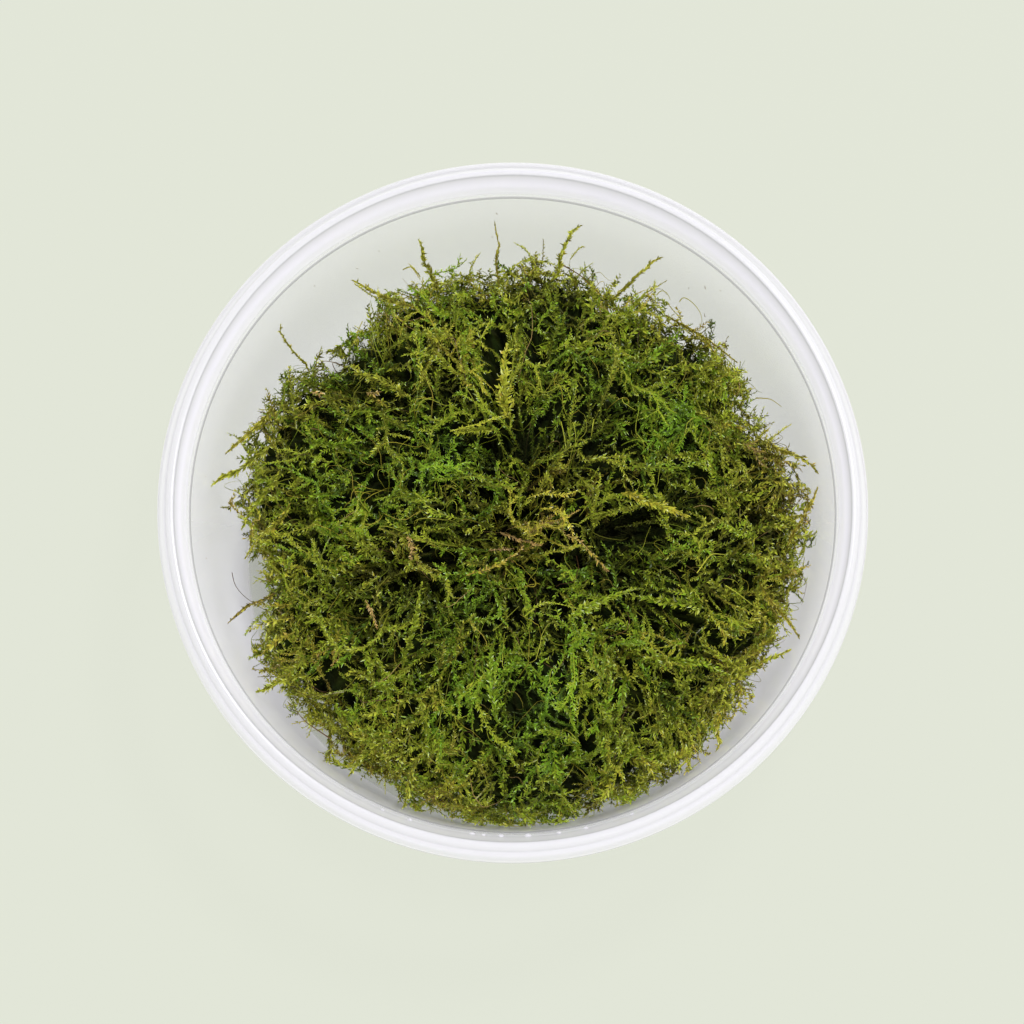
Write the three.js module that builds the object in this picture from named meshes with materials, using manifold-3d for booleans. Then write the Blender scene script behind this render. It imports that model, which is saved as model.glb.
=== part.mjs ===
// A round clear plastic pot holding one portion of Christmas moss: a springy cushion of tangled
// stems that fills the pot to just under its rim, with longer feathery fronds standing out of it.
// Millimetres, +Z up. The origin is the middle of the foot, on the surface that the pot stands on.
// +Y is the far side of the pot, as it is usually looked at, and +X is its right.
import * as THREE from "three";
import { mergeVertices } from "three/addons/utils/BufferGeometryUtils.js";
import Module from "manifold-3d";

const wasm = await Module();
wasm.setup();

// Pot
const POT_HEIGHT = 50;
const RIM_RADIUS = 50; // outermost edge of the flange
const CREST_RADIUS = 47.6; // highest ring of the rim, which a lid would meet
const SEAT_RADIUS = 45.5; // where the flared mouth meets the straight wall
const SEAT_DEPTH = 5.5; // from the crest down to that line
const FLANGE_DROP = 2.4; // from the crest down to the flange's edge
const SKIRT_DEPTH = 5.2; // from the crest down to the flange's lower edge
const BASE_RADIUS = 40.8; // outside of the wall just above the rounded foot
const WALL = 0.9;
const CORNER_RADIUS = 4; // between wall and foot
const FOOT_INNER_RADIUS = 32;
const FOOT_RECESS = 1; // how far the middle of the base is pushed up
const CREST_WIDTH = 0.7;
const GROOVE_RADIUS = 48.75; // inner edge of the snap groove between crest and flange
const GROOVE_WIDTH = 0.35;
const GROOVE_DEPTH = 1.05;
const POT_SEGMENTS = 48;
const CORNER_STEPS = 3;

// Moss cushion
const GAP = 0.3; // left between pieces that touch
const CUSHION_CENTRE_X = 1.9; // it has slid to the right and towards the near side
const CUSHION_CENTRE_Y = -1.2;
const CUSHION_BASE_RADIUS = 33;
const CUSHION_WALL_GAP = 2.9; // mean distance from the pot's wall
const CUSHION_SHOULDER_HEIGHT = 31; // where the side turns into the crown
const CUSHION_TOP_HEIGHT = 40.6;
const CROWN_FULLNESS = 0.75; // below 1, its shoulder is fuller than an ellipse's
const CROWN_FROM = 24; // heights between which side turns to crown
const CROWN_FULL = 34;
const SIDE_HEIGHTS = [8, 18]; // where its side is drawn through, below the shoulder
const CUSHION_DETAIL = 9; // subdivisions of the sphere that is wrapped round the cushion
const CLUMP_COUNT = 90; // soft lumps of the cushion
const CLUMP_WIDTH = 4;
const CLUMP_HEIGHT = 2;
const SIDE_SHARE = 0.5; // what is pressed against the wall stands out less
const CRUMPLE = 2.6; // uneven height of neighbouring points of its surface

// Short shoots all over the cushion, each a slim spike that leans its own way
const SHOOT_COUNT = 430; // over the whole sphere, of which the base and the fronds' places have none
const SHOOT_RADIUS = 1.25;
const SHOOT_SHORTEST = 2.4;
const SHOOT_LONGEST = 4.6;
const SHOOT_ROOT = 1;
const SHOOT_LEAN = 0.7; // sideways part of its direction, against 1 straight out

// Hollows and rises of the crown: where they are, how wide, and how far they sink or stand
const CROWN_RELIEF = [
  { x: 1, y: 12, width: 5, rise: -5.5 },
  { x: -2, y: -2, width: 6, rise: -5 },
  { x: -20, y: 17, width: 6, rise: -4 },
  { x: -19, y: -9, width: 5, rise: -3.5 },
  { x: 22, y: -23, width: 5, rise: -4 },
  { x: 16, y: -6, width: 5.5, rise: -3.5 },
  { x: 4, y: -26, width: 9, rise: 2.4 },
  { x: -12, y: 5, width: 7, rise: 2.2 },
  { x: 21, y: 11, width: 8, rise: 2 },
  { x: -6, y: 30, width: 8, rise: 1.2 },
  { x: 2, y: -37, width: 11, rise: 1.5 },
];

// Lobes and bays of the cushion's edge as seen from above: where they are in degrees from +X, how
// wide, and how far they stand out or in
const EDGE_LOBES = [
  { turn: 4, width: 8, push: 1.2 },
  { turn: 28, width: 9, push: -3.6 },
  { turn: 68, width: 8, push: -2.4 },
  { turn: 100, width: 6, push: -2 },
  { turn: 120, width: 6, push: 1.2 },
  { turn: 134, width: 8, push: -3.4 },
  { turn: 157, width: 13, push: 3.2 },
  { turn: 189, width: 7, push: -4.2 },
  { turn: 206, width: 8, push: 2.2 },
  { turn: 266, width: 16, push: 2 },
  { turn: 322, width: 22, push: -2.6 },
];
const EDGE_FROM = 8; // heights between which the lobes grow to their full size
const EDGE_FULL = 24;

// Fronds: root seen from above, heading in degrees from +X, how far the heading turns to the left
// along it, rise at the root in degrees, length, and width across the longest side shoots
const EDGE_FROND_WIDTH = 2;
const CROWN_FROND_WIDTH = 3;
const EDGE_FRONDS = [
  { x: 6, y: 36, heading: 66, bend: 0, lift: 30, length: 10 },
  { x: 14.5, y: 32.5, heading: 58, bend: -38, lift: 30, length: 12 },
  { x: -2, y: 35, heading: 76, bend: 44, lift: 32, length: 10 },
  { x: -11.2, y: 34.5, heading: 88, bend: 46, lift: 30, length: 7.5 },
  { x: -16, y: 31.5, heading: 150, bend: 10, lift: 24, length: 8 },
  { x: -30, y: 23, heading: 127, bend: 0, lift: 28, length: 8 },
  { x: -34.5, y: 16, heading: 214, bend: 20, lift: 24, length: 9 },
  { x: -35, y: 10.8, heading: 208, bend: 12, lift: 20, length: 10 },
  { x: -34, y: 6.5, heading: 232, bend: 14, lift: 22, length: 9 },
  { x: -32.5, y: 1.5, heading: 226, bend: 8, lift: 20, length: 9 },
  { x: -34.5, y: -10.2, heading: 200, bend: 14, lift: 20, length: 8 },
  { x: -30, y: -22, heading: 206, bend: 0, lift: 20, length: 8.5 },
  { x: -18.3, y: -31.8, heading: 219, bend: 10, lift: 18, length: 7 },
  { x: -13, y: -34, heading: 249, bend: 0, lift: 18, length: 8 },
  { x: 30, y: -27, heading: 268, bend: -16, lift: 20, length: 8.5 },
  { x: 31.5, y: -22.5, heading: 22, bend: 16, lift: 22, length: 9.5 },
  { x: 36, y: -10.5, heading: 316, bend: -20, lift: 22, length: 8.5 },
  { x: 39.5, y: -3, heading: 52, bend: 20, lift: 34, length: 9 },
  { x: 37.5, y: 11, heading: 338, bend: -24, lift: 24, length: 8 },
  { x: 23.5, y: 29.5, heading: 345, bend: -42, lift: 28, length: 11 },
];
const CROWN_FRONDS = [
  { x: -1, y: 15.5, heading: 88, bend: 6, lift: 46, length: 9.5 },
  { x: 17, y: 2.5, heading: 326, bend: 48, lift: 24, length: 11 },
  { x: -15.5, y: -21, heading: 72, bend: 6, lift: 49, length: 12 },
  { x: 18.5, y: -12, heading: 356, bend: 0, lift: 20, length: 11.5 },
  { x: -3, y: -21, heading: 272, bend: 10, lift: 22, length: 10 },
  { x: -28.5, y: 11.5, heading: 12, bend: -50, lift: 34, length: 10 },
  { x: -22, y: 22, heading: 332, bend: -8, lift: 34, length: 9 },
  { x: -4.2, y: 13, heading: 200, bend: 0, lift: 40, length: 9 },
  { x: 21.5, y: -20.5, heading: 16, bend: -56, lift: 26, length: 9.5 },
  { x: 9, y: -14.5, heading: 22, bend: 8, lift: 28, length: 9 },
];
const FRONDS = [
  ...EDGE_FRONDS.map((frond) => ({ ...frond, width: EDGE_FROND_WIDTH })),
  ...CROWN_FRONDS.map((frond) => ({ ...frond, width: CROWN_FROND_WIDTH })),
];
const FROND_ROOM = 3.8; // distance round a frond within which the cushion has no short shoot
const FROND_THICKNESS = 0.9;
const FROND_STEM_WIDTH = 0.9;
const FROND_SHOOT_PAIRS = 4;
const FROND_ROOT = 1.6; // length that starts inside the cushion, before it is cut flush
const FROND_STAND = 0.7; // height of its root above the cushion's mean surface
const DROOP_TURN = 0.9; // radians turned by a frond along its length

// Repeatable numbers from 0 to 1
function makeRandom(seed) {
  let state = seed;
  return () => {
    state = (state * 1664525 + 1013904223) % 4294967296;
    return state / 4294967296;
  };
}

function toSolid(geometry) {
  const bare = geometry.clone();
  for (const name of Object.keys(bare.attributes)) {
    if (name !== "position") bare.deleteAttribute(name);
  }
  const merged = mergeVertices(bare, 1e-4);
  return new wasm.Manifold(
    new wasm.Mesh({
      numProp: 3,
      vertProperties: new Float32Array(merged.attributes.position.array),
      triVerts: new Uint32Array(merged.index.array),
    }),
  );
}

function toGeometry(solid) {
  const mesh = solid.getMesh();
  const geometry = new THREE.BufferGeometry();
  geometry.setAttribute("position", new THREE.BufferAttribute(mesh.vertProperties, 3));
  geometry.setIndex(new THREE.BufferAttribute(mesh.triVerts, 1));
  geometry.computeVertexNormals();
  return geometry;
}

// Inner radius of the pot's wall at a height, on the straight part
const seatHeight = POT_HEIGHT - SEAT_DEPTH;
const baseInnerRadius = BASE_RADIUS - WALL;
function wallRadius(height) {
  const share = (height - CORNER_RADIUS) / (seatHeight - CORNER_RADIUS);
  return baseInnerRadius + share * (SEAT_RADIUS - baseInnerRadius);
}

// A quarter round from straight down to straight out, or back, as points of a profile
function cornerPoints(centreRadius, centreHeight, radius, fromWall) {
  const points = [];
  for (let i = 0; i <= CORNER_STEPS; i++) {
    const turn = ((fromWall ? i : CORNER_STEPS - i) / CORNER_STEPS) * (Math.PI / 2);
    points.push(
      new THREE.Vector2(
        centreRadius + radius * Math.cos(turn),
        centreHeight - radius * Math.sin(turn),
      ),
    );
  }
  return points;
}

// The pot is one moulded wall: pushed-up base, foot ring, tapered wall, flared mouth, crest,
// snap groove and turned-down flange. Its profile runs from the axis below to the axis inside.
function potGeometry() {
  const v = (radius, height) => new THREE.Vector2(radius, height);
  const top = POT_HEIGHT;
  const cornerCentre = BASE_RADIUS - CORNER_RADIUS;
  const flangeTop = top - FLANGE_DROP;
  const flangeBottom = top - SKIRT_DEPTH;
  const neck = SEAT_RADIUS + WALL;
  const mouthMiddle = (SEAT_RADIUS + CREST_RADIUS) / 2;
  const outside = [
    v(0, FOOT_RECESS),
    v(FOOT_INNER_RADIUS, FOOT_RECESS),
    v(FOOT_INNER_RADIUS + 1, 0),
    ...cornerPoints(cornerCentre, CORNER_RADIUS, CORNER_RADIUS, false),
    v(neck, seatHeight - 1.5),
    v(neck + 0.5, seatHeight),
    v(mouthMiddle + WALL, top - 2.6),
    v(CREST_RADIUS + 0.5, top - WALL - 0.4),
    v(RIM_RADIUS - WALL, flangeTop - 0.6),
    v(RIM_RADIUS - WALL, flangeBottom),
    v(RIM_RADIUS, flangeBottom),
    v(RIM_RADIUS, flangeTop),
    v(RIM_RADIUS - 0.35, flangeTop + 0.9),
    v(GROOVE_RADIUS + GROOVE_WIDTH, top - GROOVE_DEPTH),
    v(GROOVE_RADIUS, top - GROOVE_DEPTH),
    v(CREST_RADIUS + CREST_WIDTH, top),
  ];
  const inside = [
    v(CREST_RADIUS, top),
    v(CREST_RADIUS - 0.15, top - 0.3),
    v(mouthMiddle, top - 2.9),
    v(SEAT_RADIUS + 0.5, seatHeight + 0.25),
    v(SEAT_RADIUS, seatHeight),
    ...cornerPoints(cornerCentre, CORNER_RADIUS, CORNER_RADIUS - WALL, true),
    v(FOOT_INNER_RADIUS + 1 - WALL / 2, WALL),
    v(FOOT_INNER_RADIUS - WALL / 2, FOOT_RECESS + WALL),
    v(0, FOOT_RECESS + WALL),
  ];
  return new THREE.LatheGeometry([...outside, ...inside], POT_SEGMENTS).rotateX(Math.PI / 2);
}

// The space inside the pot, a gap clear of its wall and floor, which no moss may leave
const cushionBase = FOOT_RECESS + WALL + GAP;
function roomSolid() {
  const profile = [
    new THREE.Vector2(0, cushionBase),
    new THREE.Vector2(baseInnerRadius - CORNER_RADIUS, cushionBase),
    new THREE.Vector2(baseInnerRadius - GAP, CORNER_RADIUS),
    new THREE.Vector2(SEAT_RADIUS - GAP, seatHeight),
    new THREE.Vector2(CREST_RADIUS - 2 * GAP, POT_HEIGHT - GAP),
    new THREE.Vector2(0, POT_HEIGHT - GAP),
  ];
  return toSolid(new THREE.LatheGeometry(profile, POT_SEGMENTS).rotateX(Math.PI / 2));
}

// Side view of the cushion from the middle of its base, out along the floor, up the pot's
// wall and over the crown to the middle of its top
function cushionProfile() {
  const side = (height) => wallRadius(height) - CUSHION_WALL_GAP;
  const shoulder = side(CUSHION_SHOULDER_HEIGHT);
  const crownRise = CUSHION_TOP_HEIGHT - CUSHION_SHOULDER_HEIGHT;
  const points = [
    new THREE.Vector2(0, cushionBase),
    new THREE.Vector2(CUSHION_BASE_RADIUS / 2, cushionBase),
    new THREE.Vector2(CUSHION_BASE_RADIUS, cushionBase),
    ...SIDE_HEIGHTS.map((height) => new THREE.Vector2(side(height), height)),
  ];
  const crownSteps = 5;
  for (let i = 0; i <= crownSteps; i++) {
    const turn = (i / crownSteps) * (Math.PI / 2);
    points.push(
      new THREE.Vector2(
        shoulder * Math.cos(turn) ** CROWN_FULLNESS,
        CUSHION_SHOULDER_HEIGHT + crownRise * Math.sin(turn),
      ),
    );
  }
  return new THREE.SplineCurve(points);
}

// Directions spread evenly over a sphere, each turned a golden angle from the last
function spreadDirections(count, random) {
  const goldenAngle = Math.PI * (3 - Math.sqrt(5));
  return Array.from({ length: count }, (_, i) => {
    const up = 1 - (2 * (i + 0.5)) / count;
    const out = Math.sqrt(1 - up * up);
    const turn = i * goldenAngle + random() * 0.5;
    return new THREE.Vector3(out * Math.cos(turn), out * Math.sin(turn), up);
  });
}

// How far the edge stands out or in at a turn about the axis
function edgePush(turn) {
  let push = 0;
  for (const lobe of EDGE_LOBES) {
    const apart = THREE.MathUtils.euclideanModulo(THREE.MathUtils.radToDeg(turn) - lobe.turn + 180, 360) - 180;
    push += lobe.push * Math.exp(-((apart / lobe.width) ** 2));
  }
  return push;
}

// Share of the edge's push at a place of the profile: full at the shoulder, none low down or at
// the middle of the crown
function edgeShare(place) {
  const shoulder = wallRadius(CUSHION_SHOULDER_HEIGHT) - CUSHION_WALL_GAP;
  const up = THREE.MathUtils.smoothstep(place.y, EDGE_FROM, EDGE_FULL);
  return up * (place.x / shoulder) ** 2;
}

const cushionSide = cushionProfile();
const clumpRandom = makeRandom(7);
const clumps = spreadDirections(CLUMP_COUNT, clumpRandom).map((middle) => ({
  middle,
  strength: 0.4 + 0.6 * clumpRandom(),
}));

// Point of the cushion in a direction, and the way out of it there. The angle from the top gives
// the place on the profile. Clumps and the crown's relief push the point in and out, and the
// pot's wall and floor hold it back.
function cushionPoint(direction, extra) {
  const along = 1 - Math.acos(THREE.MathUtils.clamp(direction.z, -1, 1)) / Math.PI;
  const place = cushionSide.getPointAt(along);
  const tangent = cushionSide.getTangentAt(along);
  const turn = Math.atan2(direction.y, direction.x);
  const outward = new THREE.Vector3(
    tangent.y * Math.cos(turn),
    tangent.y * Math.sin(turn),
    -tangent.x,
  );
  const crownShare = THREE.MathUtils.smoothstep(place.y, CROWN_FROM, CROWN_FULL);
  const floorShare = THREE.MathUtils.smoothstep(place.y, cushionBase + 1, cushionBase + 8);
  let push = extra;
  for (const { middle, strength } of clumps) {
    const apart = direction.angleTo(middle) * CUSHION_SHOULDER_HEIGHT;
    push += strength * CLUMP_HEIGHT * Math.exp(-((apart / CLUMP_WIDTH) ** 2));
  }
  push *= THREE.MathUtils.lerp(SIDE_SHARE, 1, crownShare);
  const reach = place.x + edgePush(turn) * edgeShare(place);
  const x = reach * Math.cos(turn) + CUSHION_CENTRE_X * floorShare;
  const y = reach * Math.sin(turn) + CUSHION_CENTRE_Y * floorShare;
  for (const { x: hx, y: hy, width, rise } of CROWN_RELIEF) {
    const apart = ((x - hx) ** 2 + (y - hy) ** 2) / width ** 2;
    push += crownShare * rise * Math.exp(-apart);
  }
  const point = new THREE.Vector3(x, y, place.y).addScaledVector(outward, push * floorShare);
  return { point: insidePot(point, 0), outward };
}

// Moves a point back to where a ball of a given radius round it would clear the wall and floor
function insidePot(point, radius) {
  const height = Math.max(point.z, cushionBase + radius);
  const limit = wallRadius(height) * Math.cos(Math.PI / POT_SEGMENTS) - GAP - radius;
  const flat = new THREE.Vector2(point.x, point.y).clampLength(0, limit);
  return new THREE.Vector3(flat.x, flat.y, height);
}

// The cushion's body is a sphere of triangles, each point moved to its place on the cushion.
// An offset gives a larger one, to cut a frond's root a gap clear of it.
function cushionBody(offset) {
  const random = makeRandom(23);
  const sphere = mergeVertices(
    new THREE.BufferGeometry().setAttribute(
      "position",
      new THREE.IcosahedronGeometry(1, CUSHION_DETAIL).getAttribute("position"),
    ),
    1e-4,
  );
  const position = sphere.getAttribute("position");
  const direction = new THREE.Vector3();
  for (let i = 0; i < position.count; i++) {
    direction.fromBufferAttribute(position, i).normalize();
    const { point, outward } = cushionPoint(direction, (random() - 0.5) * CRUMPLE);
    point.addScaledVector(outward, offset);
    position.setXYZ(i, point.x, point.y, point.z);
  }
  return toSolid(sphere);
}

// Distance in plan from a point to the straight line between a frond's root and its tip
function distanceToFrond(point, frond) {
  const heading = THREE.MathUtils.degToRad(frond.heading + frond.bend / 2);
  const root = new THREE.Vector3(frond.x, frond.y, 0);
  const tip = root
    .clone()
    .add(new THREE.Vector3(Math.cos(heading), Math.sin(heading), 0).multiplyScalar(frond.length));
  const flat = new THREE.Vector3(point.x, point.y, 0);
  const nearest = new THREE.Vector3();
  new THREE.Line3(root, tip).closestPointToPoint(flat, true, nearest);
  return nearest.distanceTo(flat);
}

// The short shoots, as slim three-sided cones from inside the cushion to their tips
function shootSolids(offset) {
  const random = makeRandom(41);
  const up = new THREE.Vector3(0, 1, 0);
  const shoots = [];
  for (const direction of spreadDirections(SHOOT_COUNT, random)) {
    const { point, outward } = cushionPoint(direction, 0);
    const lean = new THREE.Vector3(random() - 0.5, random() - 0.5, random() - 0.5);
    const length = THREE.MathUtils.lerp(SHOOT_SHORTEST, SHOOT_LONGEST, random());
    if (point.z < CORNER_RADIUS + SHOOT_LONGEST) continue;
    if (FRONDS.some((frond) => distanceToFrond(point, frond) < FROND_ROOM)) continue;
    const heading = outward.clone().addScaledVector(lean, 2 * SHOOT_LEAN).normalize();
    const root = point.clone().addScaledVector(outward, -SHOOT_ROOT);
    const tip = insidePot(point.clone().addScaledVector(heading, length), SHOOT_RADIUS);
    const axis = tip.clone().sub(root);
    const reach = axis.length() + 2 * offset;
    const cone = new THREE.ConeGeometry(SHOOT_RADIUS + offset, reach, 3, 1)
      .translate(0, reach / 2, 0)
      .applyQuaternion(new THREE.Quaternion().setFromUnitVectors(up, axis.normalize()))
      .translate(root.x, root.y, root.z);
    shoots.push(toSolid(cone));
  }
  return shoots;
}

// The cushion with its short shoots grown from it
function cushionSolid(offset) {
  return wasm.Manifold.union([cushionBody(offset), ...shootSolids(offset)]);
}

// Outline of a flat frond, root at the origin and tip along +X: a stem with pairs of side
// shoots that slant forwards and shorten towards the tip, like the sides of a fir tree
function frondOutline(length, width) {
  const step = (length - FROND_ROOT) / (FROND_SHOOT_PAIRS + 0.6);
  const halfStem = FROND_STEM_WIDTH / 2;
  const side = [];
  for (let i = 0; i < FROND_SHOOT_PAIRS; i++) {
    const share = i / FROND_SHOOT_PAIRS;
    const reach = (width / 2) * (1 - 0.72 * share) * (i === 0 ? 0.8 : 1);
    const from = FROND_ROOT + i * step;
    side.push([from, halfStem * (1 - 0.5 * share)]);
    side.push([from + step * 0.95, reach]);
  }
  const shape = new THREE.Shape();
  shape.moveTo(0, -halfStem);
  for (const [along, out] of side) shape.lineTo(along, -out);
  shape.lineTo(length, 0);
  for (const [along, out] of side.reverse()) shape.lineTo(along, out);
  shape.lineTo(0, halfStem);
  shape.closePath();
  return shape;
}

// A frond bent along an arc, so that it rises from the cushion and droops towards its tip, and
// then along a second arc to its side
function frondGeometry(length, width, bend) {
  const flat = new THREE.ExtrudeGeometry(frondOutline(length, width), {
    depth: FROND_THICKNESS,
    bevelEnabled: false,
    curveSegments: 1,
  }).translate(0, 0, -FROND_THICKNESS / 2);
  const position = flat.getAttribute("position");
  const bendRadius = length / DROOP_TURN;
  for (let i = 0; i < position.count; i++) {
    const turn = position.getX(i) / bendRadius;
    const thin = 1 - 0.5 * (position.getX(i) / length);
    const height = bendRadius + position.getZ(i) * thin;
    position.setX(i, height * Math.sin(turn));
    position.setZ(i, height * Math.cos(turn) - bendRadius);
  }
  if (bend === 0) return flat;
  const sideRadius = length / THREE.MathUtils.degToRad(bend);
  for (let i = 0; i < position.count; i++) {
    const turn = position.getX(i) / sideRadius;
    const out = sideRadius - position.getY(i);
    position.setX(i, out * Math.sin(turn));
    position.setY(i, sideRadius - out * Math.cos(turn));
  }
  return flat;
}

// Stands a frond on the cushion where a line dropped from above meets it, then cuts its root
// flush with the cushion, and keeps the largest piece if a shoot of the cushion parts it
function placeFrond(frond, cushionMesh, clearance, room) {
  const ray = new THREE.Raycaster(
    new THREE.Vector3(frond.x, frond.y, 2 * POT_HEIGHT),
    new THREE.Vector3(0, 0, -1),
  );
  const root = ray.intersectObject(cushionMesh)[0].point;
  const heading = THREE.MathUtils.degToRad(frond.heading);
  const lift = THREE.MathUtils.degToRad(frond.lift);
  const placed = frondGeometry(frond.length + FROND_ROOT, frond.width, frond.bend)
    .translate(-FROND_ROOT, 0, 0)
    .rotateY(-lift)
    .rotateZ(heading)
    .translate(root.x, root.y, root.z + FROND_STAND);
  const pieces = toSolid(placed).intersect(room).subtract(clearance).decompose();
  return pieces.sort((a, b) => b.volume() - a.volume())[0];
}

const potMaterial = new THREE.MeshStandardMaterial({
  color: 0xf1f2f2,
  roughness: 0.18,
  metalness: 0,
  transparent: true,
  opacity: 0.35,
});
const cushionMaterial = new THREE.MeshStandardMaterial({
  color: 0x4c5a18,
  roughness: 0.75,
  metalness: 0,
});
const frondMaterial = new THREE.MeshStandardMaterial({
  color: 0x87962f,
  roughness: 0.6,
  metalness: 0,
});

function named(name, geometry, material) {
  const mesh = new THREE.Mesh(geometry, material);
  mesh.name = name;
  return mesh;
}

const pottedMoss = new THREE.Group();
pottedMoss.add(named("pot", potGeometry(), potMaterial));
const room = roomSolid();
const cushionInPot = cushionSolid(0).intersect(room);
const cushion = named("moss_cushion", toGeometry(cushionInPot), cushionMaterial);
pottedMoss.add(cushion);
const clearance = cushionSolid(GAP);
const moss = new THREE.Group();
FRONDS.forEach((frond, i) => {
  const solid = placeFrond(frond, cushion, clearance, room);
  const name = `frond_${String(i + 1).padStart(2, "0")}`;
  moss.add(named(name, toGeometry(solid), frondMaterial));
});
pottedMoss.add(moss);

export default pottedMoss;
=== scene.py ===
"""The looks of a clear plastic pot of Christmas moss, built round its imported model.

Metres, +Z up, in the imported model's frame. Every piece is worked out as whole arrays, from its size
settings below and from the CAD solids that it stands for.
"""

import math

import bpy
import numpy as np
from bpy.props import FloatProperty, FloatVectorProperty, IntProperty, PointerProperty
from bpy.types import Operator, Panel, PropertyGroup
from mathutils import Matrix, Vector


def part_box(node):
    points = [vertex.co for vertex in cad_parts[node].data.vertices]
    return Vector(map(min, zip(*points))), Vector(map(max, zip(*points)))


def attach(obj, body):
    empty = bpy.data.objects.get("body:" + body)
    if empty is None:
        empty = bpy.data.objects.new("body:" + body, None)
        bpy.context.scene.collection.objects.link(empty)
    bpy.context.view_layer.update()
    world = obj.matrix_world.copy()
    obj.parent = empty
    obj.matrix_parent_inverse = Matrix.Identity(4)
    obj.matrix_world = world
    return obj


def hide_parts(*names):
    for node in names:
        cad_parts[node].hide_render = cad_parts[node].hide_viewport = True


bl_info = {
    "name": "Potted Christmas Moss",
    "version": (1, 0, 0),
    "blender": (4, 5, 0),
    "location": "3D View > Sidebar > Moss Pot",
    "description": "Makes a clear pot, its moss and a plain stage round the packed model",
    "category": "Add Mesh",
}

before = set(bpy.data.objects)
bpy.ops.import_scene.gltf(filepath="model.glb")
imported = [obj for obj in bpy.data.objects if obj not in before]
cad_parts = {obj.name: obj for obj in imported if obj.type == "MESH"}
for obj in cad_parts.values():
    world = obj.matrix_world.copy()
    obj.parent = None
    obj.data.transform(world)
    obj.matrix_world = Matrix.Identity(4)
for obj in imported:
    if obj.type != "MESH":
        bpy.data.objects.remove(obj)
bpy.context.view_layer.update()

MM = 0.001
BODY = "root"
PALETTE_MAP = "OFBake"
TAU = 2 * math.pi

# Places on the palette that colours the moss, from 0 to 1: deep green to dead brown
DEEP_GREEN = 0.04
FRESH_GREEN = 0.2
LEAF_GREEN = 0.36
YELLOW_GREEN = 0.52
OLIVE = 0.66
TAN = 0.8
DEAD_BROWN = 0.95
TONE_RANGE = (0.03, 0.97)

# Places up the palette, from shade to light: where leaves start to turn pale as painted highlights, and where
# they are palest
PALE_START = 0.8
PALEST = 0.97
# What leaves and stems keep between, the most that a leaf's corner has, and the shoulder of a leaf with a
# painted glint
LEAF_LIGHTS = (0.012, 0.76)
STEM_LIGHTS = (0.02, 0.64)
LIT_TOP = 0.84
GLINT_SHOULDER = 0.9


def number(name, description, default, **kind):
    """A size, share or strength that a user may change."""
    return FloatProperty(name=name, description=description, default=default, **kind)


def whole(name, description, default, **limits):
    """A count that a user may change."""
    return IntProperty(name=name, description=description, default=default, **limits)


def colour(name, description, *default):
    """A colour that a user may change."""
    return FloatVectorProperty(name=name, description=description, default=default, subtype="COLOR")


class PotSettings(PropertyGroup):
    """Sizes and finish of the clear pot."""

    segments: whole("Segments", "Facets round the pot", 176, min=24)
    roundings: whole("Roundings", "Times that its profile's corners are cut", 2, max=3)
    wall_haze: number("Wall haze", "Opacity of one surface of the wall", 0.04, subtype="FACTOR")
    rim_haze: number("Rim haze", "Opacity of one surface of the rim", 0.5, subtype="FACTOR")
    plastic: colour("Plastic", "Tint of the milky plastic", 0.84, 0.83, 0.87)
    gloss: number("Roughness", "Roughness of the plastic", 0.16, subtype="FACTOR")
    # Painted light: these glows are emission standing for light scattered in the plastic, though the pot is
    # no lamp
    mouth_glow: number("Mouth glow", "Light that the thick rim carries to its mouth", 0.36)
    flange_glow: number("Flange glow", "Light that the flange carries to its near side", 0.26)
    wall_glow: number("Wall glow", "Light that the wall scatters inside itself", 0.24)


class MossSettings(PropertyGroup):
    """Sizes, counts and colours of the moss."""

    seed: whole("Seed", "Start of the random draws", 11)
    leaf_length: number("Leaf length", "Length of a full leaf", 0.7 * MM, unit="LENGTH")
    leaf_width: number("Leaf width", "Width of a full leaf", 0.29 * MM, unit="LENGTH")
    leaf_spacing: number("Leaf spacing", "Stem length from one leaf to the next", 0.22 * MM, unit="LENGTH")
    leaf_spread: number("Leaf spread", "Angle between a leaf and its stem", math.radians(46), subtype="ANGLE")
    stem_radius: number("Stem radius", "Radius of a main stem at its root", 0.11 * MM, unit="LENGTH")
    top_stems: whole("Top stems", "Main stems on top of the crown", 210)
    crown_stems: whole("Crown stems", "Main stems under those", 320)
    deep_stems: whole("Deep stems", "Main stems deep in the crown", 240)
    side_stems: whole("Side stems", "Main stems against the pot's wall", 380)
    base_stems: whole("Base stems", "Main stems against the pot's base", 140)
    strays: whole("Bare stems", "Bare stems over the cushion", 520)
    fringe_stems: whole("Fringe stems", "Short stems round the shoulder", 500)
    stem_length: number("Stem length", "Mean length of a main stem", 12.5 * MM, unit="LENGTH")
    shoot_count: whole("Side shoots", "Side shoots on each main stem", 7)
    shoot_length: number("Shoot length", "Length of the longest side shoots", 4.8 * MM, unit="LENGTH")
    shoot_angle: number("Shoot angle", "Angle of a side shoot to its stem", math.radians(52), subtype="ANGLE")
    thickness: number("Thickness", "Depth of the leafy layer", 6 * MM, unit="LENGTH")
    deep_green: colour("Deep green", "Old leaves", 0.07, 0.12, 0.016)
    fresh_green: colour("Fresh green", "New leaves", 0.2, 0.36, 0.022)
    leaf_green: colour("Leaf green", "Most leaves", 0.27, 0.34, 0.022)
    yellow_green: colour("Yellow green", "Tips of long shoots", 0.42, 0.44, 0.045)
    olive: colour("Olive", "Leaves round the edge", 0.43, 0.36, 0.038)
    tan: colour("Tan", "Bare stems", 0.48, 0.32, 0.12)
    dead_brown: colour("Dead brown", "Dead stems", 0.1, 0.05, 0.02)
    # Painted highlight: the pale colour that the lightest leaves and the glints turn to
    glint_pale: colour("Pale tip", "The lightest leaves", 0.55, 0.6, 0.42)
    gloss: number("Roughness", "Roughness of the damp leaves in the light", 0.3)


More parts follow.
